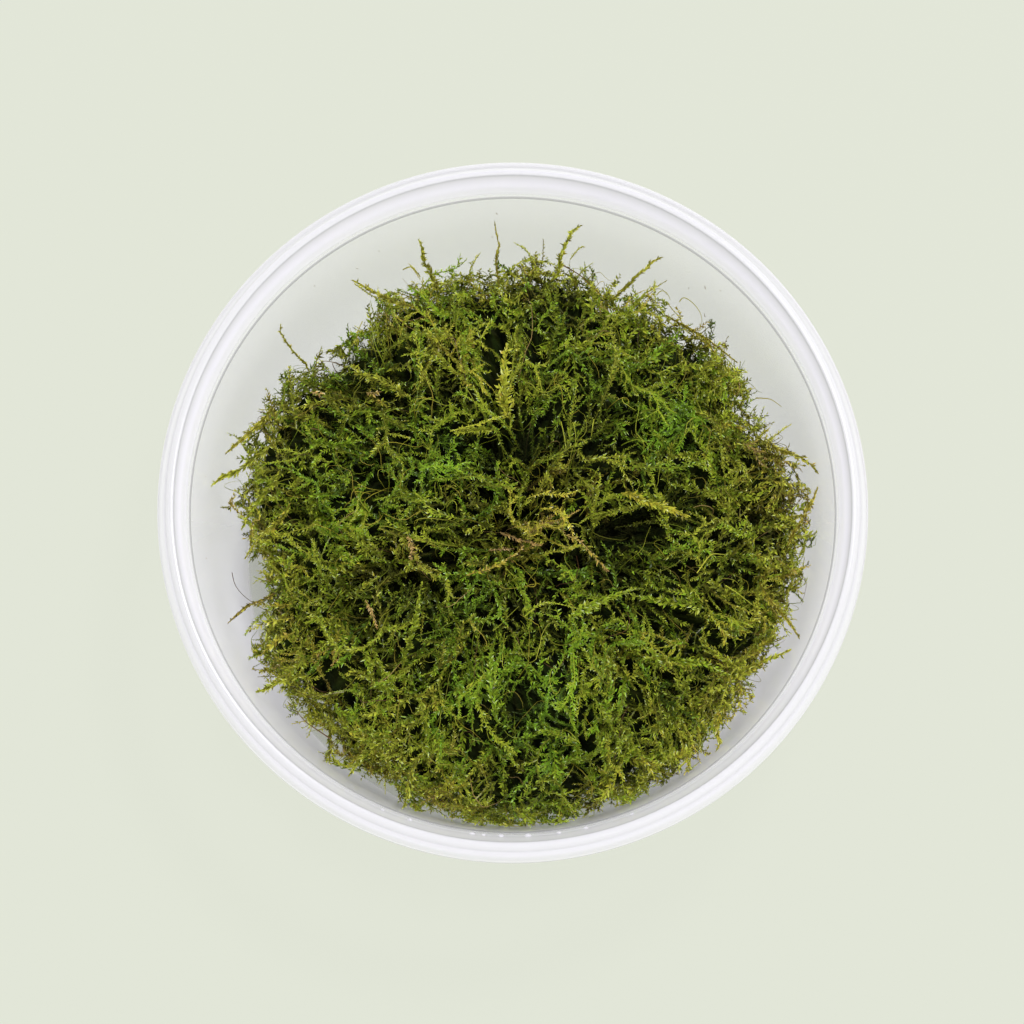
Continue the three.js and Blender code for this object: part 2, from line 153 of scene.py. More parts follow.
class StageSettings(PropertyGroup):
    """The camera, floor and light."""

    elevation: number("Elevation", "Camera's height above the horizon", math.radians(79.5), subtype="ANGLE")
    distance: number("Distance", "From the camera to the rim's middle", 600 * MM, unit="LENGTH")
    lens: number("Lens", "Focal length on a 36 mm sensor, in mm", 150.08)
    floor: colour("Floor", "Pale floor", 0.761, 0.791, 0.686)
    floor_glow: number("Floor glow", "Share of the floor's light that comes from itself", 0.95)
    shaded_glow: number("Shaded glow", "That share under the pot, where the floor shows shade", 0.1)
    sky: number("Sky", "Strength of the even light overhead", 0.3)
    horizon: number("Horizon", "How much brighter the light is low down", 1.8)
    lamp: number("Lamp", "Power of the soft lamp", 5.2, unit="POWER")


class Wire:
    """What a shader node puts out. Sums, products and powers of wires add Math nodes."""

    def __init__(self, tree, socket=None):
        self.tree = tree
        self.socket = socket

    def node(self, kind, settings=None, values=None, output=0):
        """Adds a node of a type. Its settings are set first, then its sockets get numbers or wires."""
        node = self.tree.nodes.new(kind)
        for name, value in (settings or {}).items():
            if name == "stops":
                ramp = node.color_ramp.elements
                while len(ramp) < len(value):
                    ramp.new(0.5)
                for element, (place, colour) in zip(ramp, value):
                    element.position = place
                    element.color = (*colour, 1)
            else:
                setattr(node, name, value)
        for name, value in (values or {}).items():
            if isinstance(value, Wire):
                self.tree.links.new(value.socket, node.inputs[name])
            else:
                node.inputs[name].default_value = value
        return Wire(self.tree, node.outputs[output])

    def maths(self, operation, *values):
        return self.node("ShaderNodeMath", {"operation": operation}, dict(enumerate(values)))

    def __add__(self, other):
        return self.maths("ADD", self, other)

    def __radd__(self, other):
        return self.maths("ADD", other, self)

    def __sub__(self, other):
        return self.maths("SUBTRACT", self, other)

    def __rsub__(self, other):
        return self.maths("SUBTRACT", other, self)

    def __mul__(self, other):
        return self.maths("MULTIPLY", self, other)

    def __rmul__(self, other):
        return self.maths("MULTIPLY", other, self)

    def __pow__(self, other):
        return self.maths("POWER", self, other)

    def smooth(self, start, end):
        """0 below start and 1 above end, with a smooth step between."""
        settings = {"interpolation_type": "SMOOTHSTEP"}
        return self.node("ShaderNodeMapRange", settings, {"Value": self, "From Min": start, "From Max": end})

    def ridge(self, middle, width):
        """1 where the value is at the middle, falling to 0 a width away on either side."""
        return 1 - self.maths("ABSOLUTE", self - middle).smooth(0, width)


def mix(share, first, second):
    """A colour part of the way from the first to the second."""
    values = {"Factor": share, 6: first, 7: second}
    return share.node("ShaderNodeMix", {"data_type": "RGBA"}, values, output=2)


def material(name, shader_values):
    """A material with a Principled shader, and a function that gives its constant or wired inputs."""
    made = bpy.data.materials.new(name)
    made.use_nodes = True
    shader = made.node_tree.nodes["Principled BSDF"]
    for socket, value in shader_values(Wire(made.node_tree)).items():
        if isinstance(value, Wire):
            made.node_tree.links.new(value.socket, shader.inputs[socket])
        else:
            shader.inputs[socket].default_value = value
    return made


def position(wire):
    """The x, y and z of a point of the piece, in metres."""
    place = wire.node("ShaderNodeTexCoord", output=3)
    axes = place.node("ShaderNodeSeparateXYZ", values={0: place})
    outputs = axes.socket.node.outputs
    return [Wire(wire.tree, outputs[i]) for i in range(3)]


def plastic_material(settings):
    """Clear moulded plastic. It is hazier in the thick rim. A thin grey ring of painted shade runs where
    the wall meets the mouth, at the crest and in the snap groove, standing for the dark edges that
    refraction gives there, and at the foot of the flange, standing for its shadow; the plastic is less
    clear along it. It lets less through where it is seen at a slant, as it mirrors more there. A weak
    glow is painted light: it stands for the light that the plastic scatters inside itself, in the mouth,
    in the flange, and in the wall, more so low down. On the near side the glow is dimmed in the mouth
    and wall, as painted shade, and raised in the flange."""

    def values(wire):
        x, y, z = position(wire)
        radius = (x**2 + y**2) ** 0.5
        rim = z.smooth(44.2 * MM, 45.6 * MM)
        # Painted shade: thin grey rings stand for dark refraction edges at the seat, crest and groove, and
        # for the shadow at the flange's foot
        seat_line = (z.ridge(44.5 * MM, 0.4 * MM) * radius.ridge(45.5 * MM, 0.45 * MM)).smooth(0, 0.6)
        crest_line = radius.ridge(47.5 * MM, 0.2 * MM) * z.smooth(49 * MM, 49.4 * MM)
        groove_line = radius.ridge(48.75 * MM, 0.3 * MM) * z.smooth(48.3 * MM, 48.8 * MM)
        flange_shadow_line = radius.smooth(49.8 * MM, 49.95 * MM) * (1 - z.smooth(45.4 * MM, 47.2 * MM))
        shade_lines = seat_line * 0.85 + crest_line * 0.5 + groove_line * 0.25 + flange_shadow_line * 0.5
        # Painted light and shade by side: on the near side the glow is dimmed in the mouth and wall and
        # raised in the flange
        near = 1 - y.smooth(-47 * MM, -12 * MM)
        tint = (*settings.plastic, 1)
        grey = tuple(0.3 * c for c in settings.plastic) + (1,)
        shine = x.node("ShaderNodeLayerWeight", values={"Blend": 0.5}, output="Facing") ** 4 * 0.98 + 0.02
        milky = rim * (settings.rim_haze - settings.wall_haze) + settings.wall_haze
        clear = (1 - milky) * (1 - shade_lines * 0.6)
        haze = 1 - clear * (1 - shine)
        flange = radius.smooth(47.3 * MM, 47.7 * MM) * rim
        mouth = radius.smooth(45.4 * MM, 45.9 * MM) * (1 - radius.smooth(46.7 * MM, 47.7 * MM)) * rim
        # Painted light: the wall's glow is stronger low down
        wall = (1 - rim) * (1.4 - z.smooth(8 * MM, 44 * MM) * 0.4)
        inside = (mouth * settings.mouth_glow + wall * settings.wall_glow) * (1 - near * 0.8)
        glow = (inside + flange * settings.flange_glow * (0.4 + near * 0.25)) * (1 - shade_lines)
        lit = glow.node("ShaderNodeCombineColor", values={0: glow, 1: glow * 0.95, 2: glow * 1.16})
        return {
            "Base Color": mix(shade_lines, tint, grey),
            "Roughness": settings.gloss,
            "Alpha": haze,
            "Emission Color": lit,
            "Emission Strength": 1.0,
            "IOR": 1.5,
        }

    return material("clear_plastic", values)


def moss_material(settings):
    """Leaves and stems of the moss. Its colour comes from its palette map alone: across the map
    from deep green to dead brown, and up it from shade to light, which carries painted shade and
    painted highlights. Its lightest places turn pale, as painted highlights. Only what is in the
    light is damp enough to shine."""

    def values(wire):
        palette = wire.node("ShaderNodeUVMap", {"uv_map": PALETTE_MAP})
        axes = palette.node("ShaderNodeSeparateXYZ", values={0: palette})
        across, up = (Wire(wire.tree, axes.socket.node.outputs[i]) for i in range(2))
        places = (DEEP_GREEN, FRESH_GREEN, LEAF_GREEN, YELLOW_GREEN, OLIVE, TAN, DEAD_BROWN)
        names = ("deep_green", "fresh_green", "leaf_green", "yellow_green", "olive", "tan", "dead_brown")
        colours = [(place, getattr(settings, name)) for place, name in zip(places, names)]
        tone = across.node("ShaderNodeValToRGB", {"stops": colours}, {0: across})
        tone = mix(up.smooth(PALE_START, PALEST) * 0.85, tone, (*settings.glint_pale, 1))
        light = up * 2.02 + 0.01
        shades = light.node("ShaderNodeCombineColor", values={0: light, 1: light, 2: light})
        multiply = {"data_type": "RGBA", "blend_type": "MULTIPLY"}
        lit = tone.node("ShaderNodeMix", multiply, {"Factor": 1.0, 6: tone, 7: shades}, output=2)
        rough = 1 - up.smooth(0.03, 0.12) * (1 - settings.gloss)
        return {"Base Color": lit, "Roughness": rough, "IOR": 1.33, "Specular IOR Level": 0.35}

    return material("moss", values)


def unit(vectors):
    """Each vector divided by its length."""
    return vectors / np.maximum(np.linalg.norm(vectors, axis=-1, keepdims=True), 1e-12)


def dot(first, second):
    """Product of each pair of vectors, kept as a last axis of one."""
    return (first * second).sum(-1, keepdims=True)


def turned(vectors, axes, angles):
    """Each vector turned about its axis: cosine of it, sine of axis cross it, and the part along the axis."""
    cosine, sine = np.cos(angles)[..., None], np.sin(angles)[..., None]
    return cosine * vectors + sine * np.cross(axes, vectors) + (1 - cosine) * dot(axes, vectors) * axes


def band_faces(index):
    """Two triangles to each cell of a grid of vertices. Its last axis runs round and closes, and the
    one before it runs along."""
    after = np.roll(index, -1, -1)
    low, high = index[..., :-1, :], index[..., 1:, :]
    low_after, high_after = after[..., :-1, :], after[..., 1:, :]
    cells = ([low, low_after, high], [low_after, high_after, high])
    return np.concatenate([np.stack(cell, -1).reshape(-1, 3) for cell in cells])


def closed_faces(index, bottom, top):
    """Faces of a grid of rings, and fans that close its first ring at the bottom vertex and its last
    ring at the top one."""
    after = np.roll(index, -1, -1)
    low_fan = np.stack([np.full(index.shape[1], bottom), after[0], index[0]], -1)
    high_fan = np.stack([np.full(index.shape[1], top), index[-1], after[-1]], -1)
    return np.concatenate([band_faces(index), low_fan, high_fan])


def ball_seats(rows, columns):
    """Points of a ball of radius one: rings of the cosine of the elevation, at its sine, from pole to
    pole. The two poles come last."""
    elevation = np.linspace(-math.pi / 2, math.pi / 2, rows + 1)[1:-1, None]
    turn = np.arange(columns) * TAU / columns
    flat = np.cos(elevation)
    height = np.broadcast_to(np.sin(elevation), (rows - 1, columns))
    rings = np.stack([flat * np.cos(turn), flat * np.sin(turn), height], -1)
    return np.concatenate([rings.reshape(-1, 3), [[0, 0, -1.0], [0, 0, 1.0]]])


def ball_faces(rows, columns):
    """Faces of those points."""
    count = (rows - 1) * columns
    return closed_faces(np.arange(count).reshape(rows - 1, columns), count, count + 1)


def make_piece(name, vertices, triangles, palette, material_made, slot, replaced, smooth=False):
    """A mesh object from whole arrays: vertices, triangles and a map point for each vertex. It takes
    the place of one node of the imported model."""
    mesh = bpy.data.meshes.new(name)
    mesh.vertices.add(len(vertices))
    mesh.vertices.foreach_set("co", np.ascontiguousarray(vertices, np.float32).ravel())
    mesh.loops.add(triangles.size)
    mesh.loops.foreach_set("vertex_index", np.ascontiguousarray(triangles, np.int32).ravel())
    mesh.polygons.add(len(triangles))
    mesh.polygons.foreach_set("loop_start", np.arange(0, triangles.size, 3, dtype=np.int32))
    mesh.polygons.foreach_set("use_smooth", np.full(len(triangles), smooth))
    if palette is not None:
        layer = mesh.uv_layers.new(name=PALETTE_MAP)
        layer.uv.foreach_set("vector", np.ascontiguousarray(palette[triangles.ravel()], np.float32).ravel())
    mesh.update(calc_edges=True)
    mesh.validate()
    made = bpy.data.objects.new(name, mesh)
    bpy.context.scene.collection.objects.link(made)
    mesh.materials.append(material_made)
    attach(made, BODY)
    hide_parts(replaced)


class Soup:
    """Vertices, triangles and map points gathered from many shapes, to be joined in one mesh."""

    def __init__(self):
        self.parts = []

    def add(self, vertices, triangles, palette):
        self.parts.append((vertices.reshape(-1, 3), triangles.reshape(-1, 3), palette.reshape(-1, 2)))

    def joined(self):
        starts = np.cumsum([0] + [len(vertices) for vertices, _, _ in self.parts])
        vertices = np.concatenate([part[0] for part in self.parts])
        triangles = np.concatenate([part[1] + start for part, start in zip(self.parts, starts)])
        return vertices, triangles, np.concatenate([part[2] for part in self.parts])


POT_TOP = 50 * MM
EDGE_HEIGHT = 36 * MM
WALL_FOOT = (39.9 * MM, 4 * MM)
WALL_HEAD = (45.5 * MM, 44.5 * MM)
POT_FLOOR = 1.9 * MM
CORNER_RADIUS = 3.1 * MM
CORNER_HEIGHT = 2.1 * MM
LEAF_CLEARANCE = 0.12 * MM
STEM_CLEARANCE = 0.5 * MM


def wall_radius(height):
    """Inner radius of the pot's wall, which widens evenly from its foot to its head and on above it."""
    slope = (WALL_HEAD[0] - WALL_FOOT[0]) / (WALL_HEAD[1] - WALL_FOOT[1])
    return WALL_FOOT[0] + slope * (np.maximum(height, WALL_FOOT[1]) - WALL_FOOT[1])


def kept_in_pot(points, clearance=LEAF_CLEARANCE):
    """Points moved in along their radius, and up, to where they clear the pot's wall, foot and floor."""
    height = np.maximum(points[..., 2], POT_FLOOR + clearance)
    corner = np.clip((WALL_FOOT[1] - height) / CORNER_HEIGHT, 0, 1)
    limit = wall_radius(height) - clearance - CORNER_RADIUS * (1 - np.sqrt(1 - corner**2))
    radius = np.hypot(points[..., 0], points[..., 1])
    share = np.minimum(1, limit / np.maximum(radius, 1e-9))
    return np.stack([points[..., 0] * share, points[..., 1] * share, height], -1)


def pot_profile(roundings):
    """The pot's section as a closed line of radius and height, its corners cut a number of times."""
    quarter = np.linspace(0, math.pi / 2, 5)
    outer_corner = np.stack([36.8 + 4 * np.sin(quarter), 4 - 4 * np.cos(quarter)], 1)
    inner_corner = np.stack([36.8 + 3.1 * np.cos(quarter), 4 - 3.1 * np.sin(quarter)], 1)
    outside = [(46.4, 43), (46.9, 44.5), (47.45, 47.4), (48.1, 48.7), (49.1, 47.0), (49.1, 44.8), (50, 44.8)]
    rim = [(50, 47.6), (49.65, 48.5), (49.1, 48.95), (48.75, 48.95), (48.3, 50), (47.6, 50), (47.45, 49.7)]
    mouth = [(46.55, 47.1), (46, 44.75), (45.5, 44.5)]
    base_top = [(32.55, 0.9), (31.55, 1.9), (0, 1.9)]
    base_under = [(0, 1), (32, 1), (33, 0)]
    line = np.concatenate([base_under, outer_corner, outside, rim, mouth, inner_corner, base_top])
    for _ in range(roundings):
        ahead = line[1:]
        behind = line[:-1]
        reach = np.minimum(0.25, 0.3 / np.maximum(np.linalg.norm(ahead - behind, axis=1), 1e-9))[:, None]
        near = behind + (ahead - behind) * reach
        far = ahead - (ahead - behind) * reach
        line = np.concatenate([line[:1], np.stack([near, far], 1).reshape(-1, 2), line[-1:]])
    return line * MM


# Drops of water in the near side of the mouth, as turn in degrees and width in mm
DROPS = (
    (-97, 0.8), (-95, 0.6), (-92, 0.8), (-87.4, 1), (-82, 0.7), (-77.3, 0.7), (-108, 0.7), (-113, 0.5),
    (-69, 0.5),
)
# Radius and height of the mouth's steep side, where they cling
DROP_SEAT = (46.28 * MM, 46.1 * MM)
# Half of a drop's thickness, width and height, each as a share of its width
DROP_SHAPE = (0.33, 0.5, 0.25)


def drops(rings, columns):
    """Drops on the mouth's steep side: balls flattened to a half of their width down the side and a
    third out from it."""
    turn, width = (np.array(column)[:, None] for column in zip(*DROPS))
    ball = ball_seats(rings, columns) * DROP_SHAPE
    radius = DROP_SEAT[0] + ball[:, 0] * width * MM
    swing = np.radians(turn) + ball[:, 1] * width * MM / radius
    height = DROP_SEAT[1] + ball[:, 2] * width * MM
    vertices = np.stack([radius * np.cos(swing), radius * np.sin(swing), height], -1)
    starts = np.arange(len(DROPS))[:, None, None] * len(ball)
    return vertices.reshape(-1, 3), (ball_faces(rings, columns) + starts).reshape(-1, 3)


class MOSSPOT_OT_pot(Operator):
    """Makes the clear pot, its section turned round the axis, and the drops of water in its mouth"""

    bl_idname = "mosspot.pot"
    bl_label = "Pot"

    def execute(self, context):
        """A point is the section's radius times the cosine and sine of the turn, and its height."""
        settings = context.scene.mosspot_pot
        line = pot_profile(settings.roundings)
        ring = line[1:-1]
        turn = np.arange(settings.segments) * TAU / settings.segments
        around = np.stack([np.cos(turn), np.sin(turn)], 1)
        flat = ring[None, :, :1] * around[:, None, :]
        height = np.broadcast_to(ring[None, :, 1:], flat.shape[:2] + (1,))
        poles = np.array([[0, 0, line[0, 1]], [0, 0, line[-1, 1]]])
        vertices = np.concatenate([np.concatenate([flat, height], -1).reshape(-1, 3), poles])
        index = np.arange(len(turn) * len(ring)).reshape(len(turn), len(ring)).T
        faces = closed_faces(index, index.size, index.size + 1)
        drop_vertices, drop_faces = drops(rings=6, columns=10)
        faces = np.concatenate([faces, drop_faces + len(vertices)])
        vertices = np.concatenate([vertices, drop_vertices])
        plastic = plastic_material(settings)
        make_piece("pot_shell", vertices, faces, None, plastic, "clear_plastic", "pot", smooth=True)
        return {"FINISHED"}


def corners_of(node):
    """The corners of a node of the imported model, one to a row."""
    corners = np.zeros(len(node.data.vertices) * 3)
    node.data.vertices.foreach_get("co", corners)
    return corners.reshape(-1, 3)


class CushionForm:
    """How far the cushion's CAD solid reaches from its middle in each direction. The directions are
    folded onto a square, an octahedron opened flat, and the reach of points spread evenly over the
    solid's surface is averaged in its cells."""

    CELLS = 144
    SAMPLES = 500000
    SMOOTHINGS = 4
    WIDE_SMOOTHINGS = 60
    WAVES = 24
    WAVES_ROUND = (24, 48)
    POCKET_DEPTH = 0.8 * MM

    def __init__(self, node, rng):
        low, high = (np.array(corner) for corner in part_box(node.name))
        self.centre = (low + high) / 2
        self.half_size = (high - low) / 2
        mesh = node.data
        mesh.calc_loop_triangles()
        faces = np.zeros(len(mesh.loop_triangles) * 3, np.int32)
        mesh.loop_triangles.foreach_get("vertices", faces)
        sides = corners_of(node)[faces.reshape(-1, 3)]
        area = np.linalg.norm(np.cross(sides[:, 1] - sides[:, 0], sides[:, 2] - sides[:, 0]), axis=1)
        chosen = sides[rng.choice(len(sides), self.SAMPLES, p=area / area.sum())]
        first, second = rng.random((2, self.SAMPLES, 1))
        flip = first + second > 1
        first, second = np.where(flip, 1 - first, first), np.where(flip, 1 - second, second)
        points = chosen[:, 0] + first * (chosen[:, 1] - chosen[:, 0]) + second * (chosen[:, 2] - chosen[:, 0])
        self.seats = unit(points - self.centre)
        reach = np.linalg.norm(points - self.centre, axis=1)
        cell = np.minimum((self.folded(self.seats) * self.CELLS).astype(int), self.CELLS - 1)
        flat = cell[:, 0] * self.CELLS + cell[:, 1]
        shape = (self.CELLS, self.CELLS)
        count = np.bincount(flat, minlength=self.CELLS**2).reshape(shape).astype(float)
        total = np.bincount(flat, weights=reach, minlength=self.CELLS**2).reshape(shape)
        for _ in range(self.SMOOTHINGS):
            count, total = self.blurred(count), self.blurred(total)
        self.table = total / np.maximum(count, 1e-9) + self.pockets(rng)
        smoothed = self.table
        for _ in range(self.WIDE_SMOOTHINGS):
            smoothed = self.blurred(smoothed)
        self.sunk_table = smoothed - self.table

    def pockets(self, rng):
        """Small dips and rises of every cell, the sum of waves that cross the sphere in all directions."""
        side = (np.arange(self.CELLS) + 0.5) / self.CELLS * 2 - 1
        x, y = np.meshgrid(side, side, indexing="ij")
        up = 1 - np.abs(x) - np.abs(y)
        lower = up < 0
        folded_x = np.where(lower, (1 - np.abs(y)) * np.sign(x), x)
        folded_y = np.where(lower, (1 - np.abs(x)) * np.sign(y), y)
        seats = unit(np.stack([folded_x, folded_y, up], -1))
        ways = unit(rng.normal(size=(self.WAVES, 3))) * rng.uniform(*self.WAVES_ROUND, (self.WAVES, 1))
        phases = rng.uniform(0, TAU, self.WAVES)
        return np.cos(seats @ ways.T + phases).sum(-1) * self.POCKET_DEPTH / math.sqrt(self.WAVES)

    @staticmethod
    def blurred(table):
        """Each cell as half of itself and a quarter of each neighbour, along one side and then the other."""
        padded = np.pad(table, 1, mode="edge")
        rows = (padded[:-2] + 2 * padded[1:-1] + padded[2:]) / 4
        return (rows[:, :-2] + 2 * rows[:, 1:-1] + rows[:, 2:]) / 4

    @staticmethod
    def folded(seats):
        """Place on the square, from 0 to 1 each way. The lower half of the octahedron folds outwards."""
        flat = seats / np.abs(seats).sum(-1, keepdims=True)
        x, y = flat[..., 0], flat[..., 1]
        lower_x = (1 - np.abs(y)) * np.where(x < 0, -1, 1)
        lower_y = (1 - np.abs(x)) * np.where(y < 0, -1, 1)
        below = flat[..., 2] < 0
        return np.stack([np.where(below, lower_x, x), np.where(below, lower_y, y)], -1) * 0.5 + 0.5

    def reach(self, seats):
        """Reach of the cushion's surface in each direction."""
        return self.read(self.table, seats)

    def sunk(self, seats):
        """How far the surface lies under the mean of its surroundings."""
        return self.read(self.sunk_table, seats)

    def read(self, table, seats):
        """A table in each direction, read evenly between the middles of the four nearest cells."""
        place = np.clip(self.folded(seats) * self.CELLS - 0.5, 0, self.CELLS - 1.001)
        cell = place.astype(int)
        part = place - cell
        i, j = cell[..., 0], cell[..., 1]
        u, v = part[..., 0], part[..., 1]
        near = table[i, j] * (1 - v) + table[i, j + 1] * v
        far = table[i + 1, j] * (1 - v) + table[i + 1, j + 1] * v
        return near * (1 - u) + far * u

    def outward(self, seats):
        """The outward way at each seat, as on an ellipsoid of the cushion's size: the seat over the
        square of its half sizes, brought to a length of one."""
        return unit(seats / self.half_size**2)

    def points(self, seats, depths):
        """Points at a depth under the cushion's surface, against its outward way."""
        return self.centre + seats * self.reach(seats)[..., None] - self.outward(seats) * depths[..., None]

    def height(self, x, y):
        """Height of the cushion's surface over each place, found by halving. Beyond its edge it is
        the edge's own."""
        low = np.full(np.shape(x), EDGE_HEIGHT)
        high = np.full(np.shape(x), POT_TOP)
        for _ in range(16):
            middle = (low + high) / 2
            arm = np.stack([x, y, middle], -1) - self.centre
            inside = np.linalg.norm(arm, axis=-1) < self.reach(unit(arm))
            low, high = np.where(inside, middle, low), np.where(inside, high, middle)
        return low


class Strands:
    """Stems as rows of points, with what their leaves need: the outward way at each point and the
    share of the light that the point's depth leaves, and for each stem its length, radius, leaf
    size, colour, light and twist. One value may stand for all of them."""

    def __init__(self, points, outward, lit, radius, leaf_size, tone, light, twist):
        self.points = points
        self.outward = np.broadcast_to(outward, points.shape)
        self.lit = np.broadcast_to(lit, points.shape[:2])
        singles = (np.broadcast_to(single, len(points)) for single in (radius, leaf_size, tone, light, twist))
        self.radius, self.leaf_size, self.tone, self.light, self.twist = singles
        self.length = np.linalg.norm(np.diff(points, axis=1), axis=2).sum(1)

    def chosen(self, mask):
        rows = (self.points, self.outward, self.lit)
        singles = (self.radius, self.leaf_size, self.tone, self.light, self.twist)
        return Strands(*(part[mask] for part in (*rows, *singles)))


def crept(form, seats, headings, lengths, depths, curl, wander, rng):
    """Paths that creep over the cushion. Each step turns the heading about the outward way by the
    stem's own curl and a random wander, then goes along it over the surface by an equal share of
    the length. The depth under the surface at each step is given. Returns the seats and headings at
    every step."""
    steps = depths.shape[1] - 1
    kept_seats = np.empty((len(seats), steps + 1, 3))
    kept_headings = np.empty_like(kept_seats)
    for step in range(steps + 1):
        outward = form.outward(seats)
        headings = unit(headings - dot(headings, outward) * outward)
        kept_seats[:, step] = seats
        kept_headings[:, step] = headings
        turn = curl / steps + wander * rng.normal(size=len(seats)) / math.sqrt(steps)
        headings = turned(headings, outward, turn)
        seats = unit(seats * form.reach(seats)[:, None] + headings * (lengths / steps)[:, None])
    return kept_seats, kept_headings


# Light of a blade's root, two shoulders and tip
BLADE_LIGHTS = np.array([0.62, 0.95, 0.95, 1.22])
# Share of the lit leaves that get a painted highlight, a pale glint
GLINT_SHARE = 0.12


def leaves(strands, settings, rng, soup, closeness=1):
    """Leaf blades in two rows along every stem. A blade is two triangles folded along its midrib:
    its root on the stem, its tip a leaf's length away at the spread angle, and its two shoulders a
    half width to each side of the midrib, a little raised. The blades shorten and close up towards
    the stem's tip. About one in eight of those in the light gets a painted highlight, a pale glint."""
    steps = strands.points.shape[1] - 1
    spacing = settings.leaf_spacing * strands.leaf_size * closeness
    count = np.maximum(2, np.round(strands.length / spacing).astype(int))
    owner = np.repeat(np.arange(len(count)), count)
    order = np.arange(len(owner)) - np.repeat(np.cumsum(count) - count, count)
    place = (order + 0.6) / count[owner]
    at = np.minimum(place * steps, steps - 1e-4)
    cell = at.astype(int)
    part = (at - cell)[:, None]
    root = strands.points[owner, cell] * (1 - part) + strands.points[owner, cell + 1] * part
    along = unit(strands.points[owner, cell + 1] - strands.points[owner, cell])
    outward = strands.outward[owner, cell]
    outward = unit(outward - dot(outward, along) * along)
    across = np.cross(along, outward)
    total = len(owner)
    turn = (order % 2) * math.pi + strands.twist[owner] + rng.normal(0, 0.5, total)
    side = np.cos(turn)[:, None] * across + np.sin(turn)[:, None] * outward
    spread = settings.leaf_spread * closeness * (1 - 0.45 * place**3) * rng.uniform(0.72, 1.25, total)
    cosine, sine = np.cos(spread)[:, None], np.sin(spread)[:, None]
    way = cosine * along + sine * side
    flat = sine * along - cosine * side
    raised = np.cross(way, flat)
    facing = np.where(dot(raised, outward) < 0, -1, 1)
    flat, raised = flat * facing, raised * facing
    tilt = rng.normal(0, 0.45, total)[:, None]
    flat, raised = np.cos(tilt) * flat + np.sin(tilt) * raised, np.cos(tilt) * raised - np.sin(tilt) * flat
    taper = np.minimum(1, 0.5 + 1.6 * (1 - place)) * np.minimum(1, 0.6 + 3 * place)
    size = (strands.leaf_size[owner] * taper * rng.uniform(0.75, 1.2, total))[:, None]
    length = settings.leaf_length * size
    half = settings.leaf_width * size * 0.5
    middle = root + way * length * 0.4
    lift = raised * length * 0.1
    curl = rng.normal(-0.12, 0.2, total)[:, None]
    tip = root + way * length + raised * length * curl
    vertices = np.stack([root, middle + flat * half + lift, middle - flat * half + lift, tip], 1)
    base = np.arange(total)[:, None] * 4
    triangles = np.concatenate([base + [0, 1, 3], base + [0, 3, 2]])
    fresh = np.clip(place - 0.6, 0, 1) * 0.1
    tone = np.clip(strands.tone[owner] + rng.normal(0, 0.045, total) + fresh, *TONE_RANGE)
    lit = strands.lit[owner, cell] * (1 - part[:, 0]) + strands.lit[owner, cell + 1] * part[:, 0]
    light = strands.light[owner] * lit * np.exp(rng.normal(0, 0.5, total)) * (0.72 + 0.55 * place)
    light = np.clip(light, *LEAF_LIGHTS)
    across_map = tone[:, None] + np.array([0, -0.012, 0.012, 0])
    # Painted highlight: a glint leaf is lighter, with a pale shoulder and the palest tip
    glint = (rng.random(total) < GLINT_SHARE) & (lit > 0.35)
    up_map = np.minimum((light * (1 + 0.2 * glint))[:, None] * BLADE_LIGHTS, LIT_TOP)
    up_map[glint, 1] = GLINT_SHOULDER
    up_map[glint, 3] = PALEST
    soup.add(kept_in_pot(vertices), triangles, np.stack([across_map, up_map], -1))


def stalks(strands, soup, tone_shift=0.1, light_share=0.8):
    """Three-sided stems: at each point a ring of the stem's radius, which narrows to its tip, turned
    about the way along it. A triangle closes each end."""
    points = strands.points
    count, steps = points.shape[0], points.shape[1]
    along = unit(np.gradient(points, axis=1))
    outward = unit(strands.outward - dot(strands.outward, along) * along)
    across = np.cross(along, outward)
    corner = np.arange(3) * TAU / 3
    share = 1 - 0.6 * np.linspace(0, 1, steps)
    radius = (strands.radius[:, None] * share)[:, :, None, None]
    ring = np.cos(corner)[:, None] * across[:, :, None] + np.sin(corner)[:, None] * outward[:, :, None]
    vertices = points[:, :, None] + radius * ring
    index = np.arange(count * steps * 3).reshape(count, steps, 3)
    triangles = np.concatenate([band_faces(index), index[:, 0, ::-1], index[:, -1]])
    tone = np.clip(strands.tone + tone_shift, *TONE_RANGE)[:, None, None] + np.array([-0.008, 0, 0.008])
    light = (strands.light * light_share)[:, None, None] * strands.lit[:, :, None] + np.array([0, 0.01, 0.02])
    palette = np.stack(np.broadcast_arrays(tone, np.clip(light, *STEM_LIGHTS)), -1)
    soup.add(kept_in_pot(vertices), triangles, palette)
